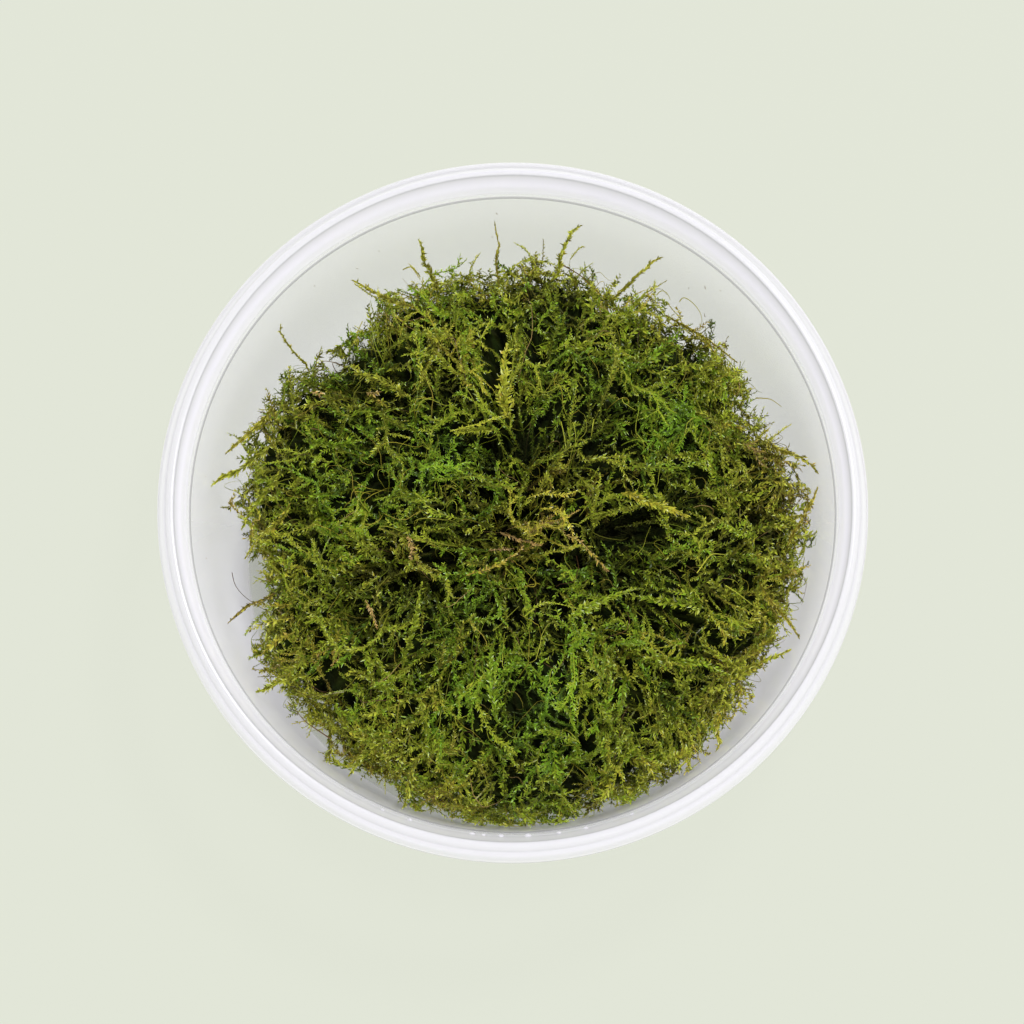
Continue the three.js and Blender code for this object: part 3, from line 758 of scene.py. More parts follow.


# Patches of the crown with a colour or light of their own, as x, y and width in mm, then how far
# the tone and the light there move from the rest. The light's move is painted light and shade: the
# dark ones are painted shade in hollows.
CROWN_PATCHES = (
    (4, -29, 11, -0.13, 0.08), (4, -21, 6, -0.06, 0.26), (15, -19, 5, 0.04, 0.2),
    (-5, -21, 5, -0.02, 0.16), (0, -40, 9, -0.08, 0), (2, 0, 16, 0, 0.03), (-23, 1, 6, -0.1, 0.36),
    (-11, 5, 7, -0.08, 0.04), (-9, 13, 5, -0.06, 0.16), (-16, 12, 5, -0.05, 0),
    (-12, -14, 5, -0.06, 0.12), (-15, -22, 5, -0.06, 0), (-2, -15, 4, 0.08, 0), (23, 15, 8, -0.1, 0.04),
    (16, 8, 3, 0.08, 0), (22, -18, 3.5, 0.04, 0.12), (12, 5, 5.5, 0.04, 0.24), (4, 1, 6, 0.22, 0.04),
    (-1, 19, 5, 0.04, 0.2), (-4, 26, 6, 0.08, 0.12), (-22, -17, 6, 0.02, -0.07),
    (-14, -5, 3.5, 0.26, -0.14), (-22, -7, 4, 0.08, -0.1), (-28, 18, 2.5, 0.24, -0.08),
    (-19, 18, 2.5, 0.2, -0.05), (-26, 20, 7, -0.06, -0.22), (-10, 24, 4, 0, -0.12),
    (-33, -4, 4, 0.12, 0), (-33, -15, 4, -0.04, -0.09), (-27, 9, 6, -0.02, -0.08),
    (2, 11, 4.5, -0.04, -0.2), (15, -5, 4, 0.08, -0.14), (24, -10, 5.5, -0.02, -0.2),
    (-4, -4, 4, 0.06, -0.18), (22, -26, 4, 0, -0.22), (1.5, -27, 3, 0, -0.2), (11, -24.5, 3, 0, -0.14),
    (14, -24, 4, 0.1, 0), (31, -15, 5, 0.06, -0.06), (23, 27, 6, 0.02, -0.24), (6, 34, 6, 0, -0.18),
    (35, 11, 5, 0.06, -0.1), (-28, -26, 8, 0.06, 0), (36, 4, 9, 0.08, -0.04),
)
EDGE_RADIUS = 40 * MM


def patch_shift(points):
    """Shift of tone and of painted light and shade at each point: the patches' bells summed, and an olive
    edge that is also a little darker.
    """
    tone = np.zeros(points.shape[:-1])
    light = np.zeros(points.shape[:-1])
    for x, y, width, tone_shift, light_shift in CROWN_PATCHES:
        apart = ((points[..., 0] / MM - x) ** 2 + (points[..., 1] / MM - y) ** 2) / width**2
        bell = np.exp(-apart)
        tone += tone_shift * bell
        light += light_shift * bell
    edge = np.clip(np.hypot(points[..., 0], points[..., 1]) / EDGE_RADIUS - 0.75, 0, 0.25) * 4
    return tone + 0.14 * edge, np.clip(1 + 2 * (light - 0.1 * edge), 0.12, 2)


def lit_share(form, settings, seats, depths, points):
    """Share of the light left at each point, painted into the leaves' colour as shade: the tangle's
    inside is painted darker as shade, and partly its leaves are old and dark. It falls as the power
    1.35 of what is left of the layer's depth, where a hollow's place counts as deep, so that hollows
    are painted dark. A patch's share of light lets it reach less or more deep, and then scales it."""
    share = patch_shift(points)[1]
    sunk = np.clip((depths + form.sunk(seats) * 0.9) / settings.thickness * (2 - share), 0, 1)
    return (0.02 + 0.98 * (1 - sunk) ** 1.35) * share


def branched(form, settings, seats, headings, lengths, depth_range, stand, rng, shoots=None, leaf_share=1):
    """Main stems that creep over the cushion, each with side shoots on both sides by turns, longest
    near its root. Returns the strands of both."""
    count = len(seats)
    steps = 10
    place = np.linspace(0, 1, steps + 1)
    low, high = depth_range
    level = rng.uniform(low, high, count)[:, None]
    root = level + rng.uniform(1, 3.5, count)[:, None] * MM
    tip = level - rng.uniform(*stand, count)[:, None] * MM
    wave = rng.uniform(0.1, 0.5, count)[:, None] * MM
    wave = wave * np.sin(place * rng.uniform(4, 11, count)[:, None] + rng.uniform(0, TAU, count)[:, None])
    depths = level + (root - level) * (1 - place) ** 3 + (tip - level) * place**3 + wave
    curl = rng.normal(0, 1.3, count)
    ways = crept(form, seats, headings, lengths, depths, curl, 0.9, rng)
    points = form.points(ways[0], depths)
    tone = LEAF_GREEN - 0.03 + rng.normal(0, 0.085, count)
    light = 0.5 * np.exp(rng.normal(0, 0.28, count))
    size = rng.uniform(0.72, 1.15, count) * leaf_share
    radius = settings.stem_radius * rng.uniform(0.8, 1.2, count)
    twist = rng.normal(0, 0.6, count)
    lit = lit_share(form, settings, ways[0], depths, points)
    shown = tone + patch_shift(points[:, steps // 2])[0]
    kept = kept_in_pot(points, STEM_CLEARANCE)
    main = Strands(kept, form.outward(ways[0]), lit, radius, size, shown, light, twist)

    shoots = settings.shoot_count if shoots is None else shoots
    shoot_steps = 3
    order = np.arange(shoots)
    share = (order + 0.6 + rng.uniform(-0.3, 0.3, (count, shoots))) / (shoots + 0.6)
    at = np.minimum((share * steps).astype(int), steps - 1)
    rows = np.arange(count)[:, None]
    shoot_seats = ways[0][rows, at].reshape(-1, 3)
    angle = settings.shoot_angle * rng.uniform(0.7, 1.3, (count, shoots)) * np.where(order % 2, 1, -1)
    shoot_headings = turned(ways[1][rows, at].reshape(-1, 3), form.outward(shoot_seats), angle.ravel())
    shoot_length = settings.shoot_length * (1 - 0.68 * share) * rng.uniform(0.45, 1.1, (count, shoots))
    shoot_length = shoot_length * np.minimum(1, lengths / settings.stem_length)[:, None]
    start = depths[rows, at].reshape(-1, 1)
    rise = rng.normal(0.5, 1.0, (count * shoots, 1)) * MM
    shoot_place = np.linspace(0, 1, shoot_steps + 1)
    shoot_depths = start - rise * shoot_place**1.5
    bend = -0.5 * np.sign(angle.ravel()) + rng.normal(0, 0.8, count * shoots)
    side_ways = crept(form, shoot_seats, shoot_headings, shoot_length.ravel(), shoot_depths, bend, 0.5, rng)
    side_points = form.points(side_ways[0], shoot_depths)
    spread = np.repeat(np.arange(count), shoots)
    side = Strands(
        kept_in_pot(side_points, STEM_CLEARANCE),
        form.outward(side_ways[0]),
        lit_share(form, settings, side_ways[0], shoot_depths, side_points),
        radius[spread] * 0.7,
        size[spread] * rng.uniform(0.8, 1.05, len(spread)),
        tone[spread] + patch_shift(side_points[:, 1])[0] + rng.normal(0.02, 0.03, len(spread)),
        light[spread] * np.exp(rng.normal(0.05, 0.16, len(spread))),
        twist[spread] + rng.normal(0, 0.35, len(spread)),
    )
    return main, side


def headings_for(seats, rng):
    """A random way along the surface at each seat."""
    loose = rng.normal(size=seats.shape)
    return unit(loose - dot(loose, seats) * seats)


# Elevations seen from the cushion's middle
SHOULDER = math.radians(8)
FRINGE = (math.radians(2), math.radians(30))
BASE_EDGE = math.radians(-34)
STRAY_EDGE = math.radians(4)
# Heights that part the pieces
SIDE_TOP = 26 * MM
BASE_TOP = 4.5 * MM
CROWN_PIECES = ("moss_crown_right", "moss_crown_far", "moss_crown_left", "moss_crown_near")
SIDE_PIECES = ("moss_side_far", "moss_side_near")


class Cushion:
    """The cushion's form and its random draws, shared by the operators."""

    form = None
    rng = None
    material = None

    @classmethod
    def prepare(cls, settings):
        if cls.form is None:
            cls.rng = np.random.default_rng(settings.seed)
            cls.form = CushionForm(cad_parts["moss_cushion"], cls.rng)
            cls.material = moss_material(settings)
        return cls.form, cls.rng


def seats_between(form, low, high, count, rng):
    """Places spread evenly over the cushion's surface, with an elevation from low to high."""
    elevation = np.arcsin(np.clip(form.seats[:, 2], -1, 1))
    fit = np.flatnonzero((elevation >= low) & (elevation < high))
    return form.seats[rng.choice(fit, count, replace=False)]


# Rows from pole to pole, and columns round
INSIDE_GRID = (110, 220)


def painted_dark_tangle(form, rng, soup):
    """The inside of the tangle: a closed surface about a leafy layer's depth under the cushion's,
    crumpled by a random depth at every point. It is painted near black, as shade."""
    seats = ball_seats(*INSIDE_GRID)
    depths = (3.8 + 2 * np.clip(seats[:, 2] * 2 - 0.4, 0, 1) + rng.uniform(0, 2.2, len(seats))) * MM
    vertices = form.points(seats, depths)
    # Painted shade: the palette keeps this surface near black
    palette = np.stack([
        0.1 + 0.04 * np.cos(5 * vertices[:, 0] / MM) + 0.3 * rng.random(len(vertices)),
        0.008 + 0.04 * rng.random(len(vertices)) ** 2,
    ], 1)
    soup.add(kept_in_pot(vertices), ball_faces(*INSIDE_GRID), palette)


PIECE_LIMIT = 200000


def check_sizes(triangle_counts):
    """Stops the script if a piece has more triangles than a piece may have."""
    print("triangles:", triangle_counts, "in all:", sum(triangle_counts.values()))
    large = [name for name, count in triangle_counts.items() if count >= PIECE_LIMIT]
    if large:
        raise ValueError(f"{', '.join(large)} reach {PIECE_LIMIT} triangles")


class MOSSPOT_OT_cushion(Operator):
    """Grows the moss cushion: leafy stems over its crown, round its shoulder, down its side and under it"""

    bl_idname = "mosspot.cushion"
    bl_label = "Moss cushion"

    def execute(self, context):
        settings = context.scene.mosspot_moss
        form, rng = Cushion.prepare(settings)
        groups = []

        def grow(low, high, count, mean, depth_range, stand, *rest):
            seats = seats_between(form, low, high, count, rng)
            lengths = settings.stem_length * mean * rng.uniform(0.65, 1.35, count)
            headings = headings_for(seats, rng)
            groups.extend(branched(form, settings, seats, headings, lengths, depth_range, stand, rng, *rest))

        thick, top = settings.thickness, math.pi / 2
        grow(SHOULDER, top, settings.top_stems, 0.9, (-0.4 * MM, 0.2 * thick), (-1.2, 1.6))
        grow(SHOULDER, top, settings.crown_stems, 1, (0.2 * thick, 0.6 * thick), (-1.2, 1.6))
        grow(SHOULDER, top, settings.deep_stems, 0.9, (0.6 * thick, 1.1 * thick), (-1, 2))
        grow(*FRINGE, settings.fringe_stems, 0.42, (0, 0.5 * thick), (0.8, 3.6), 3, 1.3)
        grow(BASE_EDGE, SHOULDER, settings.side_stems, 0.95, (0, 0.5 * thick), (-1, 1.2), 7, 1.2)
        grow(-top, BASE_EDGE, settings.base_stems, 0.95, (0.3 * MM, 0.4 * thick), (-1, 0.5))

        soups = {name: Soup() for name in (*CROWN_PIECES, *SIDE_PIECES, "moss_base")}
        painted_dark_tangle(form, rng, soups["moss_base"])
        for strands in groups:
            middle = strands.points[:, strands.points.shape[1] // 2]
            turn = np.arctan2(middle[:, 1] - form.centre[1], middle[:, 0] - form.centre[0])
            quarter = np.round(turn / (math.pi / 2)).astype(int) % 4
            half = (turn < 0).astype(int)
            zone = np.select([middle[:, 2] < BASE_TOP, middle[:, 2] < SIDE_TOP], [2, 1], 0)
            for number, name in enumerate(CROWN_PIECES):
                self.leafy(strands.chosen((zone == 0) & (quarter == number)), settings, rng, soups[name])
            for number, name in enumerate(SIDE_PIECES):
                self.leafy(strands.chosen((zone == 1) & (half == number)), settings, rng, soups[name])
            self.leafy(strands.chosen(zone == 2), settings, rng, soups["moss_base"])
        joined = {name: soup.joined() for name, soup in soups.items()}
        check_sizes({name: len(arrays[1]) for name, arrays in joined.items()})
        for name, arrays in joined.items():
            make_piece(name, *arrays, Cushion.material, "moss", "moss_cushion")
        return {"FINISHED"}

    @staticmethod
    def leafy(strands, settings, rng, soup):
        if len(strands.points):
            stalks(strands, soup)
            leaves(strands, settings, rng, soup)


def frond_spine(node, form, steps):
    """The line of a frond's CAD solid from root to tip, and its outward way. The solid's corners are
    laid along its longest axis and averaged in equal stretches. The end that is deeper in the
    cushion is the root."""
    corners = corners_of(node)
    middle = (corners.min(0) + corners.max(0)) / 2
    axes = np.linalg.svd(corners - corners.mean(0), full_matrices=False)[2]
    along = (corners - middle) @ axes[0]
    stretch = np.minimum(((along - along.min()) / np.ptp(along) * steps).astype(int), steps - 1)
    count = np.maximum(np.bincount(stretch, minlength=steps), 1)
    mean = np.stack([np.bincount(stretch, corners[:, i], steps) for i in range(3)], 1) / count[:, None]
    filled = np.bincount(stretch, minlength=steps) > 0
    place = (np.arange(steps) + 0.5) / steps
    ends = corners[[along.argmin(), along.argmax()]]
    line = np.concatenate([ends[:1], mean[filled], ends[1:]])
    where = np.concatenate([[0], place[filled], [1]])
    wanted = np.linspace(0, 1, steps + 1)
    spine = np.stack([np.interp(wanted, where, line[:, i]) for i in range(3)], 1)
    depth = form.reach(unit(spine - form.centre)) - np.linalg.norm(spine - form.centre, axis=1)
    if depth[0] < depth[-1]:
        spine = spine[::-1]
    outward = axes[2] * (1 if axes[2] @ (middle - form.centre) > 0 else -1)
    return spine, outward


def frond_strands(spine, outward, settings, tone, light, fullness, width, rng):
    """A frond's main stem along its spine, which sways a little, with leaves on four sides, and its
    side shoots in the frond's plane: each leaves the stem at the shoot angle, bends forwards as the
    square of the way along it, and is shorter towards the tip."""
    steps = len(spine) - 1
    length = np.linalg.norm(np.diff(spine, axis=0), axis=1).sum()
    sway = np.cross(unit(spine[-1] - spine[0]), outward) * 0.3 * MM
    spine = spine + np.sin(np.linspace(0, 1, steps + 1) * 5 + rng.uniform(0, TAU))[:, None] * sway
    both = np.stack([spine, spine])
    twist = np.array([0, math.pi / 2])
    main = Strands(both, outward, 1.0, settings.stem_radius * 1.1, 1.2 * fullness, tone, light, twist)
    shoots = max(6, int(length / (0.8 * MM)))
    share = (np.arange(shoots) + 0.8) / (shoots + 0.8)
    at = share * steps
    cell = np.minimum(at.astype(int), steps - 1)
    part = (at - cell)[:, None]
    root = spine[cell] * (1 - part) + spine[cell + 1] * part
    along = unit(spine[cell + 1] - spine[cell])
    across = unit(np.cross(along, outward)) * np.where(np.arange(shoots) % 2, 1, -1)[:, None]
    angle = settings.shoot_angle * rng.uniform(0.85, 1.15, shoots)
    reach = width * fullness * np.minimum(1, 0.55 + 2 * share)
    reach = reach * (1 - 0.8 * share) * rng.uniform(0.3, 1.3, shoots)
    place = np.linspace(0, 1, 5)
    bend = angle[:, None] - 0.35 * place
    way = np.cos(bend)[..., None] * along[:, None] + np.sin(bend)[..., None] * across[:, None]
    lift = rng.normal(0.1, 0.25, shoots)[:, None, None] * place[None, :, None] ** 2 * outward
    points = root[:, None] + (way * place[None, :, None] + lift) * reach[:, None, None]
    side = Strands(
        points,
        outward,
        1.0,
        settings.stem_radius * 0.7,
        fullness,
        tone + rng.normal(0.02, 0.02, shoots),
        light + rng.normal(0.02, 0.04, shoots),
        rng.normal(0, 0.3, shoots),
    )
    return main, side


# Colour, light and fullness of each frond, in the order of their names: round the edge, then over
# the crown
FROND_LOOKS = (
    (0.5, 0.42, 1), (0.56, 0.36, 0.85), (0.6, 0.32, 0.5), (0.52, 0.38, 1), (0.56, 0.36, 0.9),
    (0.56, 0.34, 0.55), (0.58, 0.34, 1), (0.5, 0.4, 1.1), (0.46, 0.36, 1), (0.54, 0.38, 0.9),
    (0.66, 0.3, 0.7), (0.5, 0.38, 1), (0.46, 0.38, 1), (0.5, 0.38, 1), (0.56, 0.42, 1),
    (0.52, 0.42, 1.1), (0.6, 0.38, 0.9), (0.62, 0.36, 0.9), (0.58, 0.36, 0.9), (0.62, 0.3, 0.7),
    (0.52, 0.62, 1.4), (0.56, 0.62, 1.2), (0.38, 0.46, 0.9), (0.36, 0.42, 1.3), (0.28, 0.55, 1.1),
    (0.28, 0.46, 1), (0.48, 0.46, 1.1), (0.44, 0.56, 1), (0.34, 0.5, 1.1), (0.34, 0.55, 1.1),
)
EDGE_FRONDS = 20
EDGE_FROND_WIDTH = 1.1 * MM
CROWN_FROND_WIDTH = 1.5 * MM


class MOSSPOT_OT_fronds(Operator):
    """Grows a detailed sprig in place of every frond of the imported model"""

    bl_idname = "mosspot.fronds"
    bl_label = "Fronds"

    def execute(self, context):
        settings = context.scene.mosspot_moss
        form, rng = Cushion.prepare(settings)
        for number, (tone, light, fullness) in enumerate(FROND_LOOKS, 1):
            node = f"frond_{number:02d}"
            spine, outward = frond_spine(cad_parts[node], form, 6)
            soup = Soup()
            edge = number <= EDGE_FRONDS
            width = EDGE_FROND_WIDTH if edge else CROWN_FROND_WIDTH
            for strands in frond_strands(spine, outward, settings, tone, light, fullness, width, rng):
                stalks(strands, soup, 0.06, 0.9)
                leaves(strands, settings, rng, soup, 0.6 if edge else 0.8)
            make_piece(f"sprig_{number:02d}", *soup.joined(), Cushion.material, "frond", node)
        return {"FINISHED"}


# Single twigs that the eye picks out, as colour, light, radius in mm, leaf size (0 for none), height
# over the cushion in mm at both ends and between them, and the places that they pass, in mm
TWIGS = (
    (0.8, 0.5, 0.08, 0.9, (0.4, 1.4), ((-1.8, -1.7), (1, -3.2), (3.6, -4.4))),
    (0.82, 0.4, 0.08, 0.7, (0.2, 1), ((-3.5, -4.6), (-1.7, -4.4), (0.2, -4.2))),
    (0.7, 0.6, 0.08, 1, (0.6, 1.6), ((-6.6, -8.5), (-2.7, -7.6), (-0.2, -5.9), (1.6, -4))),
    (0.74, 0.55, 0.08, 1.1, (0.6, 1.4), ((7.3, -2.9), (10.1, -4.3), (11.9, -6.2), (13.4, -7.8))),
    (0.62, 0.6, 0.08, 1.1, (1, 2), ((4, 1), (6.1, 0.5), (8.1, -1.3), (8.6, -3.6))),
    (0.6, 0.55, 0.08, 1, (1, 1.8), ((2.5, -0.7), (1.7, -2.6), (3.2, -3.2), (4, -1.7), (3, -0.8))),
    (0.6, 0.6, 0.08, 1, (1, 1.8), ((4.6, -1), (6.4, -2.4), (7.9, -1.2), (6.8, 0.6), (5, 1.8))),
    (0.58, 0.55, 0.08, 1, (1, 1.6), ((2, 2.4), (4.4, 3.2), (7, 2.6), (9.6, 3.4))),
    (0.26, 0.75, 0.1, 0.85, (0.8, 1.8), ((-13.3, 6.4), (-9.1, 6.8), (-6.8, 5.7))),
    (0.5, 0.5, 0.1, 0, (0.6, 2), ((6.9, 13.7), (7.2, 12.1), (7.6, 9.6))),
    (0.48, 0.5, 0.09, 0, (0.6, 2.2), ((8.6, 13.5), (8.9, 11.8), (9, 10.2))),
    (0.52, 0.55, 0.1, 0, (0.6, 2.2), ((11.6, 13.9), (11.4, 12.6), (11.2, 11.3))),
    (0.42, 0.7, 0.1, 0.7, (0.8, 1.6), ((1.7, -14.8), (3.6, -13.2), (5, -12.9), (9.8, -13.8))),
    (0.46, 0.42, 0.08, 0, (0.4, 1.6), ((-2.8, -16.6), (-1.1, -15.4), (0.9, -13.2))),
    (0.54, 0.75, 0.08, 0, (1, 1.4), ((30.2, -9.9), (32.3, -11.2), (34.3, -12.6))),
    (0.56, 0.7, 0.1, 0, (1, 1.8), ((26.1, -8.3), (28, -5.7), (30, -5.5))),
    (DEAD_BROWN, 0.7, 0.11, 0, (0, 1), ((6.8, 38), (10.1, 35.8), (13.2, 32.8))),
    (0.77, 0.6, 0.08, 0.9, (0.6, 1.4), ((-20.9, -11.9), (-19.9, -13.9), (-19.2, -16.2))),
    (0.79, 0.55, 0.07, 1, (0.4, 1.2), ((-14.8, -3.2), (-14.2, -5), (-14.6, -7))),
    (0.8, 0.55, 0.07, 1, (0.6, 1.2), ((-29, 18.6), (-27.8, 18), (-26.8, 18.4))),
    (0.79, 0.5, 0.07, 1, (0.6, 1.2), ((-21, 18.6), (-20, 18), (-19, 18.6))),
    (YELLOW_GREEN, 0.7, 0.1, 0.8, (0.6, 1.6), ((-8.9, 12.2), (-6, 12.8), (-3.1, 13.9), (-0.8, 15.1))),
    (0.6, 0.4, 0.09, 0, (0, 0.6), ((20.8, 33.3), (21.4, 33.9), (22.3, 33.6), (22.8, 32.6))),
    (0.62, 0.4, 0.09, 0, (0, 0.8), ((24.1, 32.3), (24.6, 33.1), (26.2, 31.9), (27.4, 30.2), (27.3, 28.8))),
    (0.66, 0.4, 0.1, 0, (0, 0.4), ((35, 18.1), (37.1, 17.9), (38.7, 16.8))),
    (DEAD_BROWN, 0.3, 0.07, 0, (0, 0.5),
     ((-40.1, -7.4), (-39.7, -9.5), (-38, -11.3), (-35, -13.2), (-32, -14))),
    (0.62, 0.4, 0.1, 1.2, (0, 0.6), ((-31.5, -12), (-34.4, -12.4), (-37.4, -12))),
    (0.58, 0.42, 0.1, 1.3, (0, 0.6), ((-31.5, -14), (-34.6, -14.6), (-37.6, -15.8))),
    (0.62, 0.38, 0.1, 1.2, (0, 0.6), ((-31, -16), (-33.6, -17.4), (-36, -19.4))),
    (0.6, 0.4, 0.1, 0.45, (0, 0.6), ((-13.4, 36), (-15.1, 38))),
    (0.56, 0.42, 0.1, 0.5, (0, 0.6), ((8.3, 38.6), (9.6, 40.2), (10.5, 40.5))),
    (0.52, 0.45, 0.1, 0.6, (0, 0.8), ((20.7, 31.9), (20.4, 34), (20.6, 35.6))),
    (0.56, 0.45, 0.1, 0.6, (0, 0.6), ((36.5, 11.6), (38.4, 13), (40.1, 14.3))),
    (0.54, 0.45, 0.1, 0.6, (0, 0.8), ((-6.3, 36.8), (-5.4, 38.4), (-4.7, 39.6))),
    (0.52, 0.45, 0.1, 0.6, (0, 0.8), ((3.4, 37.6), (2, 39.8), (0.2, 41.1))),
    (DEAD_BROWN, 0.75, 0.12, 0, (0, 0.8), ((-25.8, -31.4), (-29.4, -29.1), (-30.9, -27.2))),
    (0.64, 0.4, 0.09, 0, (0, 0.8), ((-21.7, 29.4), (-22.5, 27.3), (-22.3, 25))),
    (0.56, 0.45, 0.1, 0.55, (0, 0.8), ((-22.9, 35), (-20.3, 32.9), (-18.3, 32.3))),
    (0.6, 0.42, 0.1, 0.5, (0, 0.8), ((-15.9, 37.1), (-14.6, 37.4), (-13.4, 35.6))),
)


def laid_twig(form, tone, light, radius, leaf_size, heights, places):
    """A twig through given places. Between them it runs along smooth curves: each place is the
    mean of its nearest two stretches, taken three times over.
    sine of the way along it."""
    line = np.array(places) * MM
    steps = 12
    where = np.linspace(0, len(line) - 1, steps + 1)
    x, y = (np.interp(where, np.arange(len(line)), line[:, i]) for i in range(2))
    for _ in range(3):
        x[1:-1] = (x[:-2] + 2 * x[1:-1] + x[2:]) / 4
        y[1:-1] = (y[:-2] + 2 * y[1:-1] + y[2:]) / 4
    arch = np.sin(math.pi * np.linspace(0, 1, steps + 1))
    z = form.height(x, y)
    z[1:-1] = (z[:-2] + z[1:-1] + z[2:]) / 3
    z = z + (heights[0] + (heights[1] - heights[0]) * arch) * MM
    points = kept_in_pot(np.stack([x, y, z], -1)[None], 0.3 * MM)
    return Strands(points, (0, 0, 1.0), 1.0, radius * MM, leaf_size, tone, light, 0.6)


# Specks of moss stuck to the wall, as turn in degrees, height and length in mm
SPECKS = (
    (93, 39.5, 0.5), (94, 30.8, 0.35), (51, 36.5, 0.8), (54, 32.2, 0.3), (49, 27.2, 0.9), (48, 39.5, 0.3),
    (-33, 12, 0.6), (121, 34.5, 0.4), (116, 36.5, 0.3), (130, 38.5, 0.35), (172, 38, 0.3), (-173, 36.2, 0.4),
)


def specks():
    """Short, flat stems on the wall's inner side, each along its height with a slant of a third."""
    turn, height, length = (np.array(column) for column in zip(*SPECKS))
    place = np.linspace(-0.5, 0.5, 3)
    z = (height[:, None] + length[:, None] * place) * MM
    swing = np.radians(turn)[:, None] + length[:, None] * place * 0.33 * MM / wall_radius(z)
    radius = wall_radius(z) - 0.2 * MM
    points = np.stack([radius * np.cos(swing), radius * np.sin(swing), z], -1)
    inward = -unit(points * [1, 1, 0])
    return Strands(points, inward, 1.0, radius=0.07 * MM, leaf_size=0, tone=0.86, light=0.45, twist=0)


# Colours of the bare stems, and the share that each has
STRAY_TONES = ((LEAF_GREEN, 0.3), (YELLOW_GREEN, 0.35), (OLIVE, 0.25), (TAN, 0.06), (DEAD_BROWN, 0.04))


class MOSSPOT_OT_strays(Operator):
    """Lays the bare, curling stems and single twigs over the cushion, and specks on the wall"""

    bl_idname = "mosspot.strays"
    bl_label = "Bare stems"

    def execute(self, context):
        settings = context.scene.mosspot_moss
        form, rng = Cushion.prepare(settings)
        count = settings.strays
        steps = 10
        place = np.linspace(0, 1, steps + 1)
        seats = seats_between(form, STRAY_EDGE, math.pi / 2, count, rng)
        inner = np.clip((seats[:, 2] - 0.1) * 3, 0, 1)
        lengths = rng.uniform(2.5, 8.5, count) * MM * (0.5 + 0.5 * inner)
        level = rng.uniform(-0.6, 1.6, count)[:, None] * MM
        bow = rng.uniform(0, 1.6, count)[:, None] * MM
        depths = level + 2.5 * MM * (1 - place) ** 4 - bow * np.sin(math.pi * place)
        depths = depths + 1.2 * MM * place**4 * rng.normal(0, 1, count)[:, None]
        curl = rng.normal(0, 1.7, count) * (0.4 + 0.6 * inner)
        ways = crept(form, seats, headings_for(seats, rng), lengths, depths, curl, 0.7, rng)
        points = kept_in_pot(form.points(ways[0], depths), 0.4 * MM)
        tone = rng.choice([tone for tone, _ in STRAY_TONES], count, p=[share for _, share in STRAY_TONES])
        strays = Strands(
            points,
            form.outward(ways[0]),
            lit_share(form, settings, ways[0], depths, points),
            rng.uniform(0.04, 0.08, count) * MM,
            0,
            tone + rng.normal(0, 0.02, count),
            rng.uniform(0.25, 0.55, count),
            0,
        )
        soup = Soup()
        stalks(strays, soup, 0, 1)
        for twig in TWIGS:
            laid = laid_twig(form, *twig)
            stalks(laid, soup, 0, 1)
            if laid.leaf_size[0]:
                leaves(laid, settings, rng, soup)
        stalks(specks(), soup, 0, 1)
        make_piece("bare_stems", *soup.joined(), Cushion.material, "moss", "moss_cushion")
        return {"FINISHED"}


def floor_material(settings):
    """The pale floor. Most of its light comes from itself, less so under the pot."""

    def values(wire):
        x, y, _ = position(wire)
        outside = ((x**2 + y**2) ** 0.5).smooth(40.2 * MM, 43 * MM)
        share = outside * (settings.floor_glow - settings.shaded_glow) + settings.shaded_glow
        black, pale = (0, 0, 0, 1), (*settings.floor, 1)
        return {
            "Base Color": mix(share, pale, black),
            "Emission Color": mix(share, black, pale),
            "Emission Strength": 1.0,
            "Roughness": 0.9,
            "Specular IOR Level": 0.0,
        }

    return material("pale_floor", values)


FLOOR_REACH = 3.0
FLOOR_LEVEL = -0.02 * MM
LAMP_PLACE = (0.2, 0.24, 1)
LAMP_WIDTH = 0.16
# How far the lamp's place lies from the x axis
LAMP_SLANT = 1.03
SENSOR_WIDTH = 36
RIM_MIDDLE = np.array([0, 0, 47.6 * MM])
# How far the camera's aim is moved to frame the pot as the photo does
FRAMING = np.array([-0.105, -0.733, -0.136]) * MM


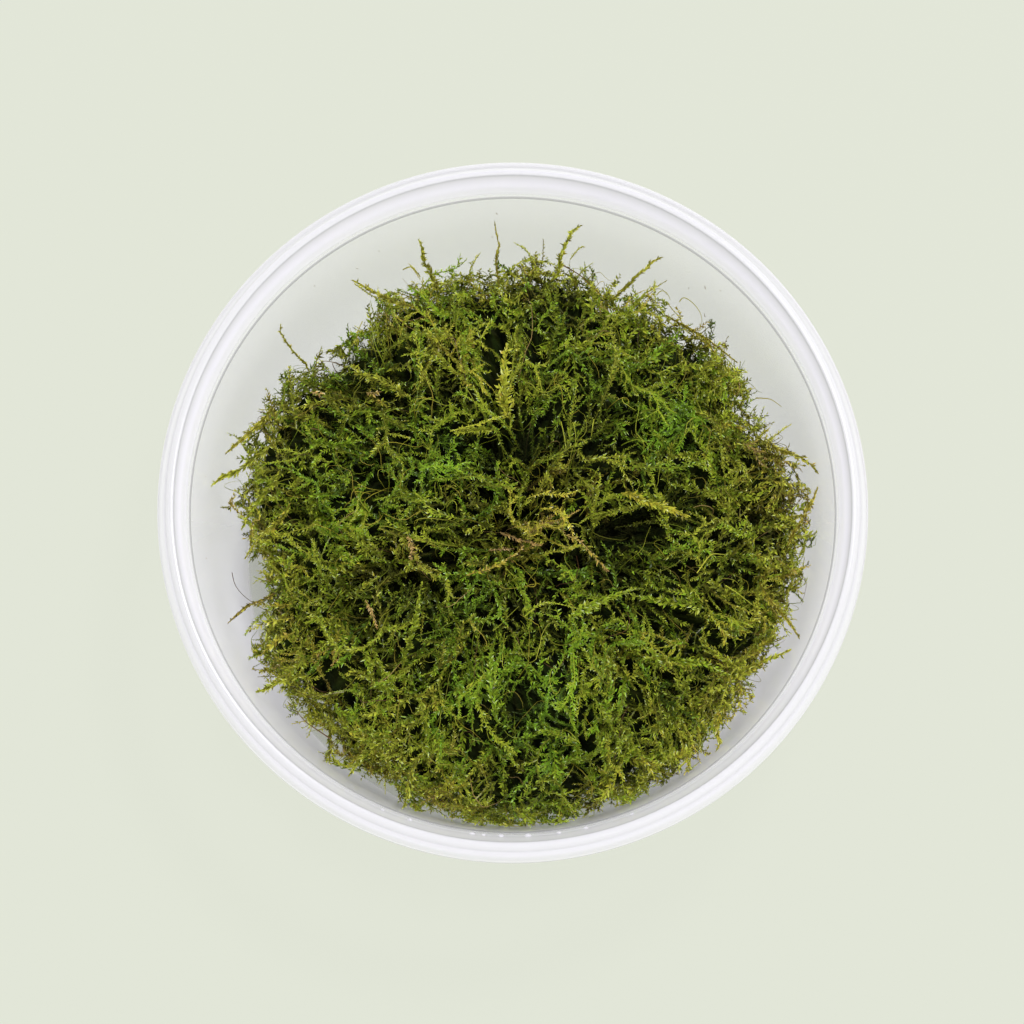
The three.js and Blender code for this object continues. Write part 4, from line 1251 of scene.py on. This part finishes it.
class MOSSPOT_OT_stage(Operator):
    """Sets the pale floor, the soft light and the camera above the pot"""

    bl_idname = "mosspot.stage"
    bl_label = "Stage"

    def execute(self, context):
        settings = context.scene.mosspot_stage
        scene = context.scene
        scene.view_settings.view_transform = "Standard"
        mesh = bpy.data.meshes.new("floor")
        signs = ((-1, -1), (1, -1), (1, 1), (-1, 1))
        corners = [(x * FLOOR_REACH, y * FLOOR_REACH, FLOOR_LEVEL) for x, y in signs]
        mesh.from_pydata(corners, [], [(0, 1, 2, 3)])
        floor = bpy.data.objects.new("floor", mesh)
        scene.collection.objects.link(floor)
        mesh.materials.append(floor_material(settings))

        world = bpy.data.worlds.new("studio")
        world.use_nodes = True
        wire = Wire(world.node_tree)
        way = wire.node("ShaderNodeTexCoord")
        up = way.node("ShaderNodeSeparateXYZ", values={0: way}, output=2)
        strength = (1 - up.maths("ABSOLUTE", up)) ** 2 * settings.horizon + settings.sky
        world.node_tree.links.new(strength.socket, world.node_tree.nodes["Background"].inputs["Strength"])
        world.node_tree.nodes["Background"].inputs["Color"].default_value = (1, 1, 1, 1)
        scene.world = world

        lamp = bpy.data.lights.new("soft_lamp", "AREA")
        lamp.shape = "DISK"
        lamp.size = LAMP_WIDTH
        lamp.energy = settings.lamp
        lamp_object = bpy.data.objects.new("soft_lamp", lamp)
        x, y, z = LAMP_PLACE
        lamp_object.location = LAMP_PLACE
        lamp_object.rotation_euler = (-math.atan2(y, z), math.atan2(x, LAMP_SLANT), 0)
        scene.collection.objects.link(lamp_object)

        camera = bpy.data.cameras.new("camera")
        camera.lens = settings.lens
        camera.sensor_width = SENSOR_WIDTH
        camera.clip_start, camera.clip_end = 0.05, 10
        camera_object = bpy.data.objects.new("camera", camera)
        back = np.array([0, -math.cos(settings.elevation), math.sin(settings.elevation)])
        camera_object.location = RIM_MIDDLE + FRAMING + back * settings.distance
        camera_object.rotation_euler = (math.pi / 2 - settings.elevation, 0, 0)
        scene.collection.objects.link(camera_object)
        scene.camera = camera_object
        return {"FINISHED"}


class MOSSPOT_PT_panel(Panel):
    """Lists the makers of the pot, the moss and the stage"""

    bl_label = "Moss Pot"
    bl_space_type = "VIEW_3D"
    bl_region_type = "UI"
    bl_category = "Moss Pot"

    def draw(self, context):
        for operator in OPERATORS:
            self.layout.operator(operator.bl_idname)


OPERATORS = (MOSSPOT_OT_pot, MOSSPOT_OT_cushion, MOSSPOT_OT_fronds, MOSSPOT_OT_strays, MOSSPOT_OT_stage)
SETTINGS = {"mosspot_pot": PotSettings, "mosspot_moss": MossSettings, "mosspot_stage": StageSettings}


def register():
    for made in (*SETTINGS.values(), *OPERATORS, MOSSPOT_PT_panel):
        bpy.utils.register_class(made)
    for name, group in SETTINGS.items():
        setattr(bpy.types.Scene, name, PointerProperty(type=group))


def unregister():
    for name in SETTINGS:
        delattr(bpy.types.Scene, name)
    for made in reversed((*SETTINGS.values(), *OPERATORS, MOSSPOT_PT_panel)):
        bpy.utils.unregister_class(made)


def main():
    register()
    bpy.ops.mosspot.pot()
    bpy.ops.mosspot.cushion()
    bpy.ops.mosspot.fronds()
    bpy.ops.mosspot.strays()
    bpy.ops.mosspot.stage()
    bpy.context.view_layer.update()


if __name__ == "__main__":
    main()
